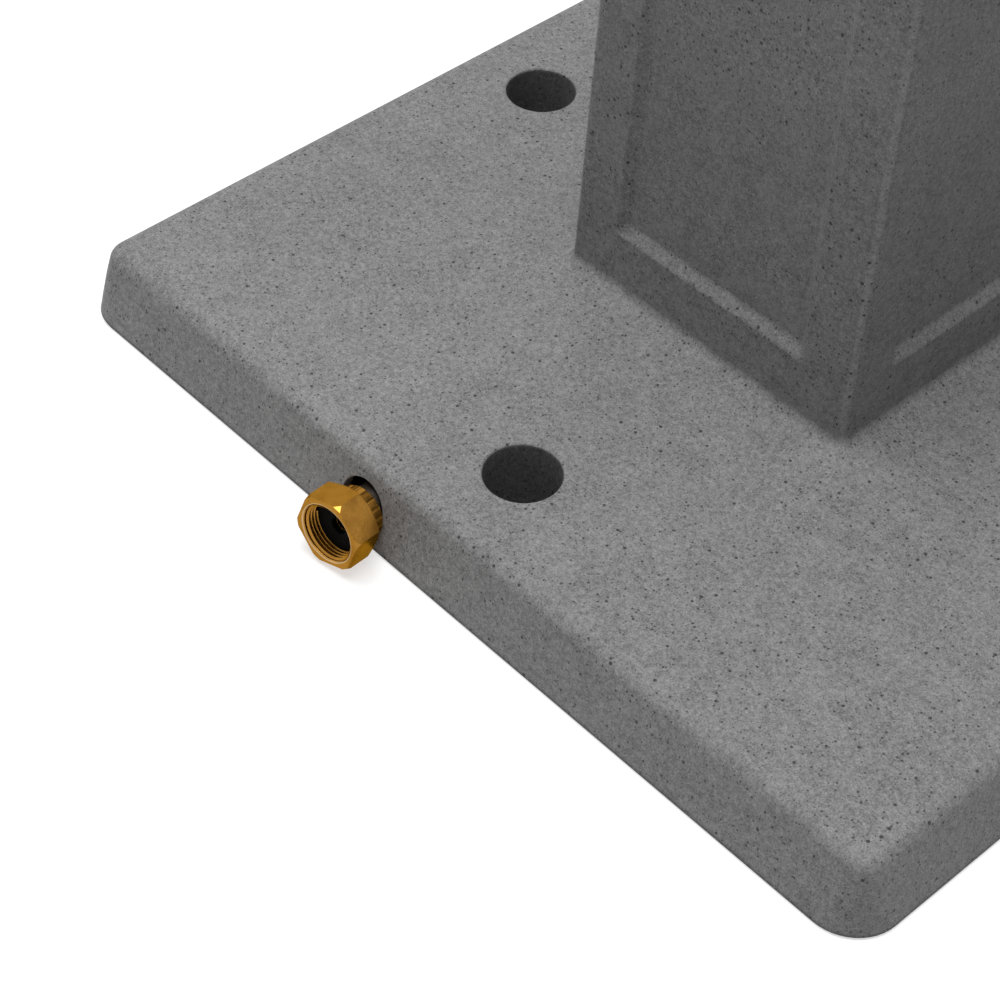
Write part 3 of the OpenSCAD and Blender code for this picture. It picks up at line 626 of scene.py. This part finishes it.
def hose_route():
    """The supply hose's centre line: in from the inlet, under the column, up it and over to the tap."""
    start = FERRULE_END - FERRULE_FLOOR
    route = [inlet_point(start - d) for d in (0, 12, 24, 34)]
    turn = route[-1]
    for a, b, c in ((1, 0.94, 0.06), (0.96, 0.875, 0.2), (0.86, 0.79, 0.4), (0.69, 0.7, 0.6),
                    (0.48, 0.61, 0.75), (0.27, 0.52, 0.9), (0.1, 0.44, 1)):
        route.append(Vector((turn.x * a, turn.y * b, turn.z + (18.5 - turn.z) * c)))
    route += [Vector((0, y, z)) for y, z in ((72, 20), (56, 24), (41, 31), (28, 41), (17, 53), (9, 68),
                                             (4, 84), (1, 102), (0, 125), (0, 160))]
    top = UPPER_FERRULE_END - FERRULE_FLOOR
    lean = top - 190
    route += [Vector((0, 0, 200 + (lean - 200) * k / 8)) for k in range(9)]
    route += [Vector((0, HOSE_AXIS_Y * a, lean + z)) for a, z in ((0.16, 40), (0.42, 80), (0.74, 112))]
    end = UPPER_FERRULE_END - FERRULE_L
    route += [Vector((0, HOSE_AXIS_Y + 1, end - 10)), Vector((0, HOSE_AXIS_Y, end + 2)),
              Vector((0, HOSE_AXIS_Y, top))]
    return route


def supply_hose():
    """The rubber hose inside the post, round and smooth along its whole route."""
    data = bpy.data.curves.new("hose_route", "CURVE")
    data.dimensions = "3D"
    data.resolution_u = 6
    data.bevel_depth = HOSE_R * MM
    data.bevel_resolution = 6
    data.use_fill_caps = True
    line = data.splines.new("BEZIER")
    route = hose_route()
    line.bezier_points.add(len(route) - 1)
    for knot, where in zip(line.bezier_points, route):
        knot.co = where * MM
        knot.handle_left_type = knot.handle_right_type = "AUTO"
    obj = bpy.data.objects.new("hose", data)
    bpy.context.scene.collection.objects.link(obj)
    only(obj)
    bpy.ops.object.convert(target="MESH")
    obj = bpy.context.active_object
    edit(obj, "VERT")
    take_all()
    bpy.ops.mesh.remove_doubles(threshold=1e-6)
    smooth(faced(obj), 50)
    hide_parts("supply_hose")
    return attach(obj, "post")


# The tap


def cast(obj, grain, passes):
    """Give a united casting the soft edges and blends of the foundry."""
    apply(obj, "REMESH", "skin", mode="VOXEL", voxel_size=grain * MM, adaptivity=0)
    apply(obj, "SMOOTH", "tumbled", factor=0.5, iterations=passes)
    only(obj)
    bpy.ops.object.shade_smooth()
    return obj


def tap_body():
    """The tap's casting: shank, hexagon, valve chamber, arm and swan-necked spout."""
    chamber = turned("tap_casting", [(0, -14), (8, -14), (12, -12.8), (15, -10), (16, -7), (16, 26),
                                     (15.4, CHAMBER_TOP), (0, CHAMBER_TOP)], 72)
    flats = hexagon("tap flats", 3, 11, 27, 0, 0, 1.6)
    inlet = turned("tap inlet", [(0, -31.9), (9.8, -31.9), (10.4, -31), (10.4, 4), (11.5, 10),
                                 (11.5, VALVE_OUT), (0, VALVE_OUT)], 64)
    for obj in (flats, inlet):
        place(obj, (0, VALVE_OUT, 0), [("X", 90)])
    arm = place(rod("spout arm", 0, 0.5 - BEND_Y, ARM_R, 64), (0, 0, ARM_Z), [("X", 90)])
    bpy.ops.mesh.primitive_circle_add(vertices=48, radius=ARM_R * MM, fill_type="NGON")
    bend = place(fresh("spout bend"), (0, BEND_Y, ARM_Z), [("X", 90)])
    edit(bend)
    take_all()
    bpy.ops.mesh.spin(steps=16, angle=math.radians(-90), axis=(1, 0, 0),
                      center=(0, BEND_Y * MM, (ARM_Z - BEND_R) * MM))
    faced(bend)
    drop = turned("spout drop", [(0, OUTLET_Z - 13.9), (12.4, OUTLET_Z - 13.9), (13.2, OUTLET_Z - 13),
                                 (13.2, OUTLET_Z), (14.4, OUTLET_Z), (15, OUTLET_Z + 0.6),
                                 (15, OUTLET_Z + 2.2), (ARM_R, OUTLET_Z + 5.5),
                                 (ARM_R, ARM_Z - BEND_R + 0.5), (0, ARM_Z - BEND_R + 0.5)], 64)
    place(drop, (0, -SPOUT_OUT, 0))
    for piece in (flats, inlet, arm, bend, drop):
        cut(chamber, piece, "UNION")
    cast(chamber, 0.7, 5)
    bores = turned("valve bore", [(0, -8), (6, -8), (6, SEAT_Z), (11.5, SEAT_Z),
                                  (11.5, CHAMBER_TOP - 8), (12, CHAMBER_TOP - 8),
                                  (12, CHAMBER_TOP + 4), (0, CHAMBER_TOP + 4)], 64)
    cut(chamber, bores)
    mouth = turned("spout bore", [(0, NOZZLE_Z), (6, NOZZLE_Z), (6, ARM_Z - BEND_R),
                                  (0, ARM_Z - BEND_R)], 48)
    cut(chamber, place(mouth, (0, -SPOUT_OUT, 0)))
    smooth(chamber, 40)
    place(chamber, (0, VALVE_Y, TAP_Z))
    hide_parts("tap_body")
    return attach(chamber, "post")


def bonnet():
    """The bonnet: a hexagon with a threaded neck for the gland nut."""
    obj = hexagon("bonnet_body", BONNET_Z, BONNET_Z + 9, 30, 0, 1.4, 2.0)
    neck = turned("bonnet neck", [(0, CHAMBER_TOP - 7.4), (11.5, CHAMBER_TOP - 7.4),
                                  (11.95, CHAMBER_TOP - 6.9), (11.95, BONNET_Z + 0.5),
                                  (10.4, BONNET_Z + 1), (10.4, NECK_TOP - 0.5),
                                  (9.9, NECK_TOP), (0, NECK_TOP)], 72)
    cut(obj, neck, "UNION")
    bore = turned("bonnet bore", [(0, CHAMBER_TOP - 10), (6.55, CHAMBER_TOP - 10), (6.55, NECK_TOP - 9),
                                  (4.4, NECK_TOP - 9), (4.4, NECK_TOP - 7), (7.5, NECK_TOP - 7),
                                  (7.5, NECK_TOP + 2), (0, NECK_TOP + 2)], 48)
    cut(obj, bore)
    return tap_piece(soften(obj, 0.3, 3), "bonnet")


def gland_nut():
    """The gland nut: a hexagon with a coned top round the stem."""
    low, high = NECK_TOP - 12, NECK_TOP + 2
    obj = hexagon("gland_cap", low, high, 24, 30, 1.2, 1.4)
    cone = turned("gland cone", [(0, high - 2), (11, high - 2), (11, high), (8.3, high + 1.7),
                                 (7.6, high + 2), (0, high + 2)], 72)
    cut(obj, cone, "UNION")
    bore = turned("gland bore", [(0, low - 1), (10.5, low - 1), (10.5, NECK_TOP + 0.2),
                                 (7.3, NECK_TOP + 0.2), (7.3, NECK_TOP - 0.7), (4.05, NECK_TOP - 0.7),
                                 (4.05, high + 3), (0, high + 3)], 64)
    cut(obj, bore)
    return tap_piece(soften(obj, 0.28, 3), "gland_nut")


def tee_handle():
    """The tee handle: a waisted hub with two tapered arms that end in knobs."""
    top = HANDLE_Z + HUB_H
    middle = HANDLE_Z + HUB_H / 2
    hub = turned("handle_tee", [(0, HANDLE_Z), (7, HANDLE_Z), (8.6, HANDLE_Z + 1.2),
                                (9, HANDLE_Z + 2.6), (9, top - 2.2), (8.6, top - 0.9), (7.5, top),
                                (0, top)], 64)
    knob, neck, reach = 5.6, 3.75, 31
    start = math.asin(neck / knob)
    turns = [start + (math.pi - start) * k / 12 for k in range(12)]
    ball = [(knob * math.sin(a), reach - knob * math.cos(a)) for a in turns]
    arm = turned("handle arm", [(0, 0), (5.4, 0), (4.6, 8), (4.15, 12), (3.85, 20), *ball,
                                (0, reach + knob)], 48)
    other = copy_of(arm, "handle arm 2")
    for piece, side in ((arm, 90), (other, -90)):
        place(piece, (0, 0, middle), [("Y", side)])
        cut(hub, piece, "UNION")
    cast(hub, 0.45, 6)
    drill = rod("handle drill", HANDLE_Z - 1, top + 2, 2.1, 32)
    square = box("handle square", (-3.1, 3.1), (-3.1, 3.1), (HANDLE_Z - 1, top - 1))
    cut(hub, drill)
    cut(hub, square)
    smooth(hub, 40)
    return tap_piece(hub, "tee_handle", "spindle")


def handle_screw():
    """The slotted screw that holds the handle."""
    top = HANDLE_Z + HUB_H
    obj = turned("tee_screw", [(0, top - 8), (1.3, top - 8), (1.6, top - 7.6), (1.6, top), (3.8, top),
                               (4, top + 0.25), (4, top + 1.1), (3.5, top + 1.9), (2.4, top + 2.5),
                               (1.2, top + 2.75), (0, top + 2.8)], 48)
    cut(obj, box("screw slot", (-5, 5), (-0.5, 0.5), (top + 1.3, top + 5)))
    return tap_piece(soften(obj, 0.12, 2), "handle_screw", "spindle")


def outlet_nut():
    """The outlet's union nut."""
    low, high = OUTLET_NUT_Z, OUTLET_NUT_Z + 18.5
    obj = hexagon("union_nut", low, high, 30, 0, 2.0, 1.8)
    bore = turned("union bore", [(0, low - 1), (8.8, low - 1), (8.8, low + 3), (13.3, low + 3),
                                 (13.3, high - 0.7), (14, high + 0.1), (14, high + 1),
                                 (0, high + 1)], 72)
    cut(obj, bore)
    return tap_piece(soften(obj, 0.3, 3), "outlet_nut", y=SPOUT_Y)


def outlet_nozzle():
    """The hose nozzle: a flange in the nut, three barbs and a plain tip."""
    under = OUTLET_NUT_Z
    tip = under - 30
    outside = [(7.9, tip), (8.6, tip + 0.5), (8.7, tip + 1)]
    for k in (2, 1, 0):
        foot = under - 7 - 5 * (k + 1)
        outside += [(8.6, foot), (9.45, foot + 3.8), (9.6, foot + 4.1), (9.55, foot + 4.5),
                    (8.65, foot + 4.8)]
    outside += [(8.7, under - 6), (8.7, under + 3), (12.4, under + 3), (12.6, under + 3.2),
                (12.6, NOZZLE_Z), (6.7, NOZZLE_Z), (6.2, NOZZLE_Z - 0.5)]
    obj = turned("hose_nozzle", [(6.2, tip + 0.8), *outside, (6.2, tip + 0.8)], 80)
    return tap_piece(smooth(obj, 32), "outlet_nozzle", y=SPOUT_Y)


def wall_flange():
    """The rose between the tap and the column."""
    obj = turned("wall_rose", [(10.6, 0), (25, 0), (25, 0.7), (24.7, 1.15), (23.8, 1.75), (22.5, 2.15),
                               (21, 2.45), (17.8, 2.85), (17.4, 3), (10.6, 3), (10.6, 0)], 120)
    place(smooth(obj, 25), (0, PAD_Y, TAP_Z), [("X", 90)])
    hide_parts("wall_flange")
    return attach(obj, "post")


def tap_piece(obj, node, body="post", y=VALVE_Y):
    """Move a piece modelled on its own axis to the tap, hide its node's imported piece and hang it on
    its body.
    """
    place(obj, (0, y, TAP_Z))
    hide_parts(node)
    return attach(obj, body)


# The cap


def top_cap():
    """The lid: a skirt over the column's rim, a brow and four low slopes."""
    h = CAP_HALF
    r = CAP_CORNER_R
    brow = [(*level, r) for level in arc((h - 5, CAP_BROW - 5), 5, 0, 79, 6)]
    obj = stacked("lid", [(h - 0.8, CAP_Z, r), (h - 0.25, CAP_Z + 0.2, r), (h, CAP_Z + 0.8, r),
                          *brow, (5, CAP_TOP - 0.4, 0.8), (4.2, CAP_TOP - 0.1, 0.7)])
    cut(obj, stacked("lid inside", [(h - 4, CAP_Z - 5, 6), (h - 4, RIM_Z, 6)]))
    cut(obj, stacked("lid hollow", [(h - 12, RIM_Z - 1, 6), (h - 12, CAP_BROW - 4, 6),
                                    (4, CAP_TOP - 5.5, 0.5)]))
    cut(obj, joined(*side_drills("lid drill", 60, 2.7)))
    smooth(obj)
    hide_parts("top_cap")
    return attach(obj, "post")


def cap_screws():
    """Two pan-head screws with crossed slots, one each side of the lid."""
    h = CAP_HALF
    screw = turned("lid_screws", [(0, h - 14), (2, h - 14), (2.5, h - 13.2), (2.5, h), (4.55, h),
                                  (4.75, h + 0.2), (4.75, h + 0.9), (4.3, h + 1.7), (3.3, h + 2.25),
                                  (1.7, h + 2.55), (0, h + 2.6)], 40)
    cross = box("cross slot", (-2.5, 2.5), (-0.45, 0.45), (h + 1.1, h + 6))
    cut(screw, copy_of(cross, "cross slot 2"))
    cut(screw, place(cross, turns=[("Z", 90)]))
    soften(screw, 0.12, 2)
    twin = copy_of(screw, "lid screw 2")
    for obj, side in ((screw, 90), (twin, -90)):
        place(obj, (0, 0, CAP_SCREW_Z), [("Y", side)])
    joined(screw, twin)
    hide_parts("cap_screws")
    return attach(screw, "post")


# Materials

# The granite's middle tone, and how much painted shade darkens it in each place
GRANITE_TONE = 0.256
HOLE_SHADE, GROUND_SHADE, COLUMN_SHADE = 0.36, 0.75, 0.15
# How much paler the painted highlights make the column's corners, the inlet's rim and the nut's lip
CORNER_HIGHLIGHT, RIM_HIGHLIGHT, LIP_HIGHLIGHT = 0.085, 0.12, 0.42


def group(name, inputs, outputs):
    """A shader node group with number and vector sockets."""
    tree = bpy.data.node_groups.new(name, "ShaderNodeTree")
    kinds = {"number": "NodeSocketFloat", "vector": "NodeSocketVector"}
    for label, kind, value in inputs:
        socket = tree.interface.new_socket(name=label, in_out="INPUT", socket_type=kinds[kind])
        if value is not None:
            socket.default_value = value
    for label, kind in outputs:
        tree.interface.new_socket(name=label, in_out="OUTPUT", socket_type=kinds[kind])
    return tree, tree.nodes.new("NodeGroupInput"), tree.nodes.new("NodeGroupOutput")


class Bench:
    """Short ways to place and wire nodes in one tree."""

    def __init__(self, tree):
        self.tree = tree

    def put(self, kind, **inputs):
        node = self.tree.nodes.new(kind)
        for key, value in inputs.items():
            self.feed(node, key, value)
        return node

    def feed(self, node, key, value):
        socket = node.inputs[key]
        if isinstance(value, bpy.types.NodeSocket):
            self.tree.links.new(value, socket)
        else:
            socket.default_value = value

    def fill(self, node, *values):
        """Feed the node's first sockets in their order."""
        for key, value in enumerate(values):
            self.feed(node, key, value)
        return node

    def place(self):
        return self.put("ShaderNodeTexCoord").outputs["Object"]

    def maths(self, what, a, b=0.0):
        node = self.put("ShaderNodeMath")
        node.operation = what
        return self.fill(node, a, b).outputs[0]

    def times(self, a, b):
        return self.maths("MULTIPLY", a, b)

    def ramp(self, value, low, high, to_low=0.0, to_high=1.0):
        node = self.put("ShaderNodeMapRange")
        node.interpolation_type = "SMOOTHSTEP"
        return self.fill(node, value, low, high, to_low, to_high).outputs[0]

    def noise(self, where, scale, detail=2.0, rough=0.5):
        node = self.put("ShaderNodeTexNoise", Vector=where, Scale=scale, Detail=detail, Roughness=rough)
        return node.outputs["Fac"]

    def cells(self, where, scale):
        node = self.put("ShaderNodeTexVoronoi", Vector=where, Scale=scale)
        return node.outputs["Distance"], node.outputs["Color"]

    def mix(self, share, a, b):
        node = self.put("ShaderNodeMix")
        node.data_type = "RGBA"
        for key, item in ((0, share), (6, a), (7, b)):
            self.feed(node, key, item)
        return node.outputs[2]

    def vector(self, what, a, b):
        node = self.put("ShaderNodeVectorMath")
        node.operation = what
        self.fill(node, a, b)
        return node.outputs["Value" if what == "DOT_PRODUCT" else "Vector"]

    def across(self, where):
        """A place's distances from the middle along X and Y, and the node that has its own x, y, z."""
        node = self.put("ShaderNodeSeparateXYZ", Vector=where)
        return [self.maths("ABSOLUTE", node.outputs[axis]) for axis in "XY"], node

    def bump(self, height, strength, distance):
        node = self.put("ShaderNodeBump", Height=height, Strength=strength, Distance=distance)
        return node.outputs["Normal"]


def emptied(owner):
    """The bench of a material's or world's node tree, cleared."""
    owner.use_nodes = True
    owner.node_tree.nodes.clear()
    return Bench(owner.node_tree)


def material(name):
    """A new node material, with its bench, its shader and the place on the object."""
    mat = bpy.data.materials.new(name)
    b = emptied(mat)
    shader = b.put("ShaderNodeBsdfPrincipled")
    b.put("ShaderNodeOutputMaterial", Surface=shader.outputs["BSDF"])
    return mat, b, shader, b.place()


def speckle_group():
    """Specks of one size: a share of the cells of a pattern hold a soft-edged dot."""
    tree, given, out = group("specks", [("Where", "vector", None), ("Scale", "number", 300.0),
                                        ("Size", "number", 0.3), ("Share", "number", 0.5)],
                             [("Mask", "number")])
    b = Bench(tree)
    g = given.outputs
    distance, colour = b.cells(g["Where"], g["Scale"])
    parts = b.put("ShaderNodeSeparateColor", Color=colour)
    size = b.times(g["Size"], b.ramp(parts.outputs["Green"], 0, 1, 0.5, 1.15))
    dot = b.ramp(distance, size, b.times(size, 0.62))
    chosen = b.maths("LESS_THAN", parts.outputs["Red"], g["Share"])
    tree.links.new(b.times(dot, chosen), out.inputs["Mask"])
    return tree


def corner_highlight(b, where):
    """1 on the middle of the column's and cap's upright corners, where a highlight is painted, else 0.
    """
    (x, y), split = b.across(where)
    middle = b.ramp(b.maths("ABSOLUTE", b.maths("SUBTRACT", x, y)), 0.0032, 0.001)
    upright = b.times(b.ramp(b.maths("MAXIMUM", x, y), 0.093, 0.088),
                      b.ramp(split.outputs["Z"], 0.045, 0.056))
    return b.times(middle, upright)


def painted_shade_and_rim_highlight(b, where):
    """Painted shade: how much darker the anchor holes' walls, the ground edge and the column are drawn;
    and the painted highlight on the inlet's rim.
    """
    (x, y), split = b.across(where)
    z = split.outputs["Z"]

    def away(u, v, u0, v0):
        squares = (b.maths("POWER", b.maths("SUBTRACT", a, a0), 2.0) for a, a0 in ((u, u0), (v, v0)))
        return b.maths("SQRT", b.maths("ADD", *squares))

    reach = ANCHOR_PCD / 2 * MM
    nearest = b.maths("MINIMUM", away(x, y, reach, 0.0), away(x, y, 0.0, reach))
    # painted shade: the anchor holes' walls, the ground edge and the column drawn darker than the lamps
    # make them
    hole = b.times(b.ramp(nearest, 0.0176, 0.0169), b.ramp(z, 0.0368, 0.034))
    ground = b.ramp(z, 0.0034, 0.0006)
    column = b.times(b.ramp(z, 0.044, 0.052), COLUMN_SHADE)
    dark = b.maths("MAXIMUM", b.times(hole, HOLE_SHADE), b.times(ground, GROUND_SHADE))
    dark = b.maths("MAXIMUM", dark, column)
    rim = away(split.outputs["X"], z, INLET_X * MM, INLET_Z * MM)
    at_side = b.ramp(split.outputs["Y"], 0.2335, 0.2345)
    return dark, b.times(b.ramp(rim, 0.0139, 0.0134), at_side)


def granite_material(specks):
    """Moulded plastic with a grey granite look: clouds, fine grain, black and pale specks.

    Painted shade makes it darker on the column, in the anchor holes and along the ground; painted
    highlights make it paler along the column's corners and round the inlet's rim."""
    mat, b, shader, where = material("granite plastic")

    def dots(scale, size, share):
        node = b.put("ShaderNodeGroup")
        node.node_tree = specks
        for key, value in (("Where", where), ("Scale", scale), ("Size", size), ("Share", share)):
            b.feed(node, key, value)
        return node.outputs["Mask"]

    cloud = b.noise(where, 75.0, 3.0, 0.55)
    patch = b.noise(where, 16.0, 2.0, 0.5)
    grain = b.noise(where, 1250.0, 2.0, 0.7)
    mottle = b.noise(where, 400.0, 2.0, 0.6)
    tone = b.maths("ADD", b.ramp(cloud, 0.3, 0.7, -0.02, 0.02), b.ramp(patch, 0.3, 0.7, -0.01, 0.01))
    tone = b.maths("ADD", tone, b.ramp(mottle, 0.3, 0.7, -0.045, 0.045))
    tone = b.maths("ADD", tone, b.ramp(grain, 0.28, 0.72, -0.08, 0.08))
    # a painted highlight along the column's rounded upright corners
    tone = b.maths("ADD", tone, b.times(corner_highlight(b, where), CORNER_HIGHLIGHT))
    dark, rim = painted_shade_and_rim_highlight(b, where)
    # a painted highlight round the inlet hole's rim
    tone = b.maths("ADD", tone, b.times(rim, RIM_HIGHLIGHT))
    # the painted shade darkens the tone here
    value = b.times(b.maths("ADD", tone, GRANITE_TONE), b.maths("SUBTRACT", 1.0, dark))
    base = b.put("ShaderNodeCombineColor", Red=value, Green=value, Blue=value).outputs[0]
    black = dots(200.0, 0.17, 0.9)
    for scale, size, share, strength in ((345.0, 0.215, 0.9, 0.88), (680.0, 0.27, 0.65, 0.66)):
        black = b.maths("MAXIMUM", black, b.times(dots(scale, size, share), strength))
    pale = b.times(dots(520.0, 0.26, 0.3), 0.55)
    colour = b.mix(pale, base, (0.46, 0.46, 0.46, 1))
    colour = b.mix(b.times(black, 0.86), colour, (0.022, 0.022, 0.024, 1))
    b.feed(shader, "Base Color", colour)
    b.feed(shader, "Roughness", b.ramp(cloud, 0.3, 0.7, 0.56, 0.68))
    shader.inputs["Specular IOR Level"].default_value = 0.3
    peel = b.maths("ADD", b.times(b.noise(where, 240.0, 2.0), 0.5), b.noise(where, 45.0, 1.0))
    b.feed(shader, "Normal", b.bump(peel, 0.35, 0.0009))
    return mat


def lip_highlight(b, where):
    """1 on the lip round the swivel nut's mouth, where a highlight is painted, else 0."""
    from_hole = b.vector("SUBTRACT", where, Vector(FITTING) * MM)
    axis = inlet_point(HOLE_Y + 1) - inlet_point(HOLE_Y)
    along = b.vector("DOT_PRODUCT", from_hole, axis)
    across = b.vector("CROSS_PRODUCT", from_hole, axis)
    away = b.maths("SQRT", b.vector("DOT_PRODUCT", across, across))
    off = b.maths("ABSOLUTE", b.maths("SUBTRACT", away, (THREAD_R + 0.65) * MM))
    front = (NUT_FRONT - HOLE_Y) * MM
    at_front = b.ramp(along, front - 0.0009, front - 0.0005)
    return b.times(b.ramp(off, 0.00045, 0.00015), at_front)


def metal_material(name, colour, dark, edge, rough, grain, bump, lip_glint_colour=(0.72, 0.58, 0.38, 1)):
    """A metal with faint cloudy tarnish, fine tool marks, a little unevenness in its gloss and,
    at the swivel nut's mouth, a painted highlight round the lip."""
    mat, b, shader, where = material(name)
    tarnish = b.ramp(b.noise(where, 90.0, 4.0, 0.6), 0.42, 0.72)
    colour = b.mix(b.times(tarnish, 0.7), colour, dark)
    # a painted highlight on the swivel nut's lip
    lip_shine = b.times(lip_highlight(b, where), LIP_HIGHLIGHT)
    b.feed(shader, "Base Color", b.mix(lip_shine, colour, lip_glint_colour))
    shader.inputs["Metallic"].default_value = 1.0
    shader.inputs["Specular Tint"].default_value = edge
    fine = b.noise(where, grain, 3.0, 0.6)
    gloss = b.ramp(fine, 0.3, 0.7, rough - 0.05, rough + 0.06)
    b.feed(shader, "Roughness", b.maths("ADD", gloss, b.times(tarnish, 0.08)))
    b.feed(shader, "Normal", b.bump(fine, bump, 0.0002))
    return mat


def dull_material(name, colour, worn, rough, grain):
    """Rubber or fibre: matt, with a fine grain and slightly paler worn patches."""
    mat, b, shader, where = material(name)
    wear = b.ramp(b.noise(where, 120.0, 4.0, 0.6), 0.45, 0.75)
    b.feed(shader, "Base Color", b.mix(wear, colour, worn))
    fine = b.noise(where, grain, 2.0, 0.6)
    b.feed(shader, "Roughness", b.ramp(fine, 0.3, 0.7, rough - 0.06, rough + 0.06))
    shader.inputs["Specular IOR Level"].default_value = 0.05
    b.feed(shader, "Normal", b.bump(fine, 0.3, 0.0002))
    return mat


def finishes():
    """Every material of the standpipe, by the record's slot."""
    return {
        "granite_plastic": granite_material(speckle_group()),
        "brass": metal_material("turned brass", (0.385, 0.188, 0.034, 1), (0.23, 0.10, 0.016, 1),
                                (0.5, 0.42, 0.3, 1), 0.27, 900.0, 0.05),
        "cast_brass": metal_material("cast brass", (0.39, 0.205, 0.055, 1), (0.25, 0.12, 0.028, 1),
                                     (0.55, 0.5, 0.42, 1), 0.42, 420.0, 0.35),
        "stainless": metal_material("stainless", (0.60, 0.60, 0.59, 1), (0.42, 0.41, 0.40, 1),
                                    (1, 1, 1, 1), 0.28, 900.0, 0.06),
        "ferrule_steel": metal_material("ferrule steel", (0.115, 0.095, 0.078, 1),
                                        (0.06, 0.045, 0.034, 1), (0.8, 0.8, 0.8, 1),
                                        0.42, 600.0, 0.12),
        "black_rubber": dull_material("black rubber", (0.0035, 0.0035, 0.0035, 1),
                                      (0.009, 0.009, 0.009, 1), 0.7, 500.0),
        "fibre": dull_material("red fibre", (0.26, 0.05, 0.025, 1), (0.34, 0.10, 0.06, 1),
                               0.75, 700.0),
    }


def dress(obj, mat):
    obj.data.materials.clear()
    obj.data.materials.append(mat)


# The studio


def camera():
    """The photograph's view, from above the inlet's side, as fitted to the plate and the nut."""
    azimuth, elevation, roll = (math.radians(a) for a in (226.4405, 46.878, 1.8977))
    back = Vector((math.sin(azimuth) * math.cos(elevation), -math.cos(azimuth) * math.cos(elevation),
                   math.sin(elevation)))
    right = Vector((math.cos(azimuth), math.sin(azimuth), 0))
    up = back.cross(right)
    right, up = (math.cos(roll) * right + math.sin(roll) * up,
                 math.cos(roll) * up - math.sin(roll) * right)
    target = Vector((0.01048, 0.2068, 0))
    data = bpy.data.cameras.new("camera")
    data.sensor_width = 36
    data.lens = 89.975
    data.shift_x = 0.0333
    data.shift_y = 0.0435
    data.clip_start, data.clip_end = 0.01, 50
    obj = bpy.data.objects.new("camera", data)
    turn = Matrix((right, up, back)).transposed().to_4x4()
    obj.matrix_world = Matrix.Translation(target + back * 1.06039) @ turn
    bpy.context.scene.collection.objects.link(obj)
    bpy.context.scene.camera = obj


def seen_directly(b):
    """1 for rays from the camera and for those that metal mirrors, else 0."""
    path = b.put("ShaderNodeLightPath")
    seen = b.maths("MAXIMUM", path.outputs["Is Camera Ray"], path.outputs["Is Glossy Ray"])
    return b.maths("MAXIMUM", seen, path.outputs["Is Transmission Ray"])


def floor():
    """A wide pale floor that looks white and keeps the shadow, with painted shade where the plate
    covers it, so the anchor holes look deep.
    """
    bpy.ops.mesh.primitive_plane_add(size=12)
    obj = fresh("studio_floor")
    edit(obj)
    take_all()
    bpy.ops.mesh.subdivide(number_cuts=8)
    done(obj)
    mat = bpy.data.materials.new("pale floor")
    b = emptied(mat)
    x, y = b.across(b.place())[0]
    slant = b.times(b.maths("ADD", x, y), 0.512)
    # the plate's footprint, where painted shade takes the place of the floor's colour and glow
    covered = b.ramp(b.maths("MAXIMUM", slant, b.maths("MAXIMUM", x, y)), 0.238, 0.235)
    far = b.ramp(b.maths("MAXIMUM", x, y), 0.4, 2.4, 0.6, 0.98)
    pale, shade_under_plate = (0.58, 0.58, 0.58, 1), (0.05, 0.05, 0.05, 1)
    matt = b.put("ShaderNodeBsdfDiffuse", Color=b.mix(covered, pale, shade_under_plate))
    shown = b.times(seen_directly(b), far)
    shown = b.times(b.maths("SUBTRACT", 1.0, covered), shown)
    glow = b.put("ShaderNodeEmission", Color=(1, 1, 1, 1), Strength=shown)
    both = b.fill(b.put("ShaderNodeAddShader"), matt.outputs[0], glow.outputs[0])
    b.put("ShaderNodeOutputMaterial", Surface=both.outputs[0])
    dress(obj, mat)


def lights():
    """A broad soft lamp overhead, a weaker one from the left and a pale surround."""

    def lamp(name, where, aim, size, power):
        data = bpy.data.lights.new(name, "AREA")
        data.shape = "SQUARE"
        data.size = size
        data.energy = power
        obj = bpy.data.objects.new(name, data)
        obj.location = where
        obj.rotation_euler = (Vector(aim) - Vector(where)).to_track_quat("-Z", "Y").to_euler()
        bpy.context.scene.collection.objects.link(obj)

    lamp("top lamp", (0.05, 0.3, 3.0), (0, 0, 0.3), 2.0, 75)
    lamp("left lamp", (2.4, 0.8, 1.6), (0, 0, 0.2), 1.6, 6)
    world = bpy.data.worlds.new("surround")
    bpy.context.scene.world = world
    b = emptied(world)
    strength = b.ramp(seen_directly(b), 0, 1, 0.145, 1.0)
    sky = b.put("ShaderNodeBackground", Color=(1, 1, 1, 1), Strength=strength)
    b.put("ShaderNodeOutputWorld", Surface=sky.outputs[0])


def main():
    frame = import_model()
    bpy.context.scene.view_settings.view_transform = "Standard"
    camera()
    slots = {row["node"]: row["material_slot"] for row in frame["record"]["subparts"]}
    finish = finishes()
    for node, obj in frame["nodes"].items():
        dress(obj, finish[slots[node]])
    for make in (moulding, top_cap):
        dress(make(), finish["granite_plastic"])
    for make in (inlet_nut, inlet_tail, bonnet, gland_nut, handle_screw, outlet_nut, outlet_nozzle,
                 wall_flange):
        dress(make(), finish["brass"])
    for make in (tap_body, tee_handle):
        dress(make(), finish["cast_brass"])
    for sleeve in ferrules():
        dress(sleeve, finish["ferrule_steel"])
    for make in (supply_hose, inlet_washer):
        dress(make(), finish["black_rubber"])
    dress(cap_screws(), finish["stainless"])
    floor()
    lights()


main()
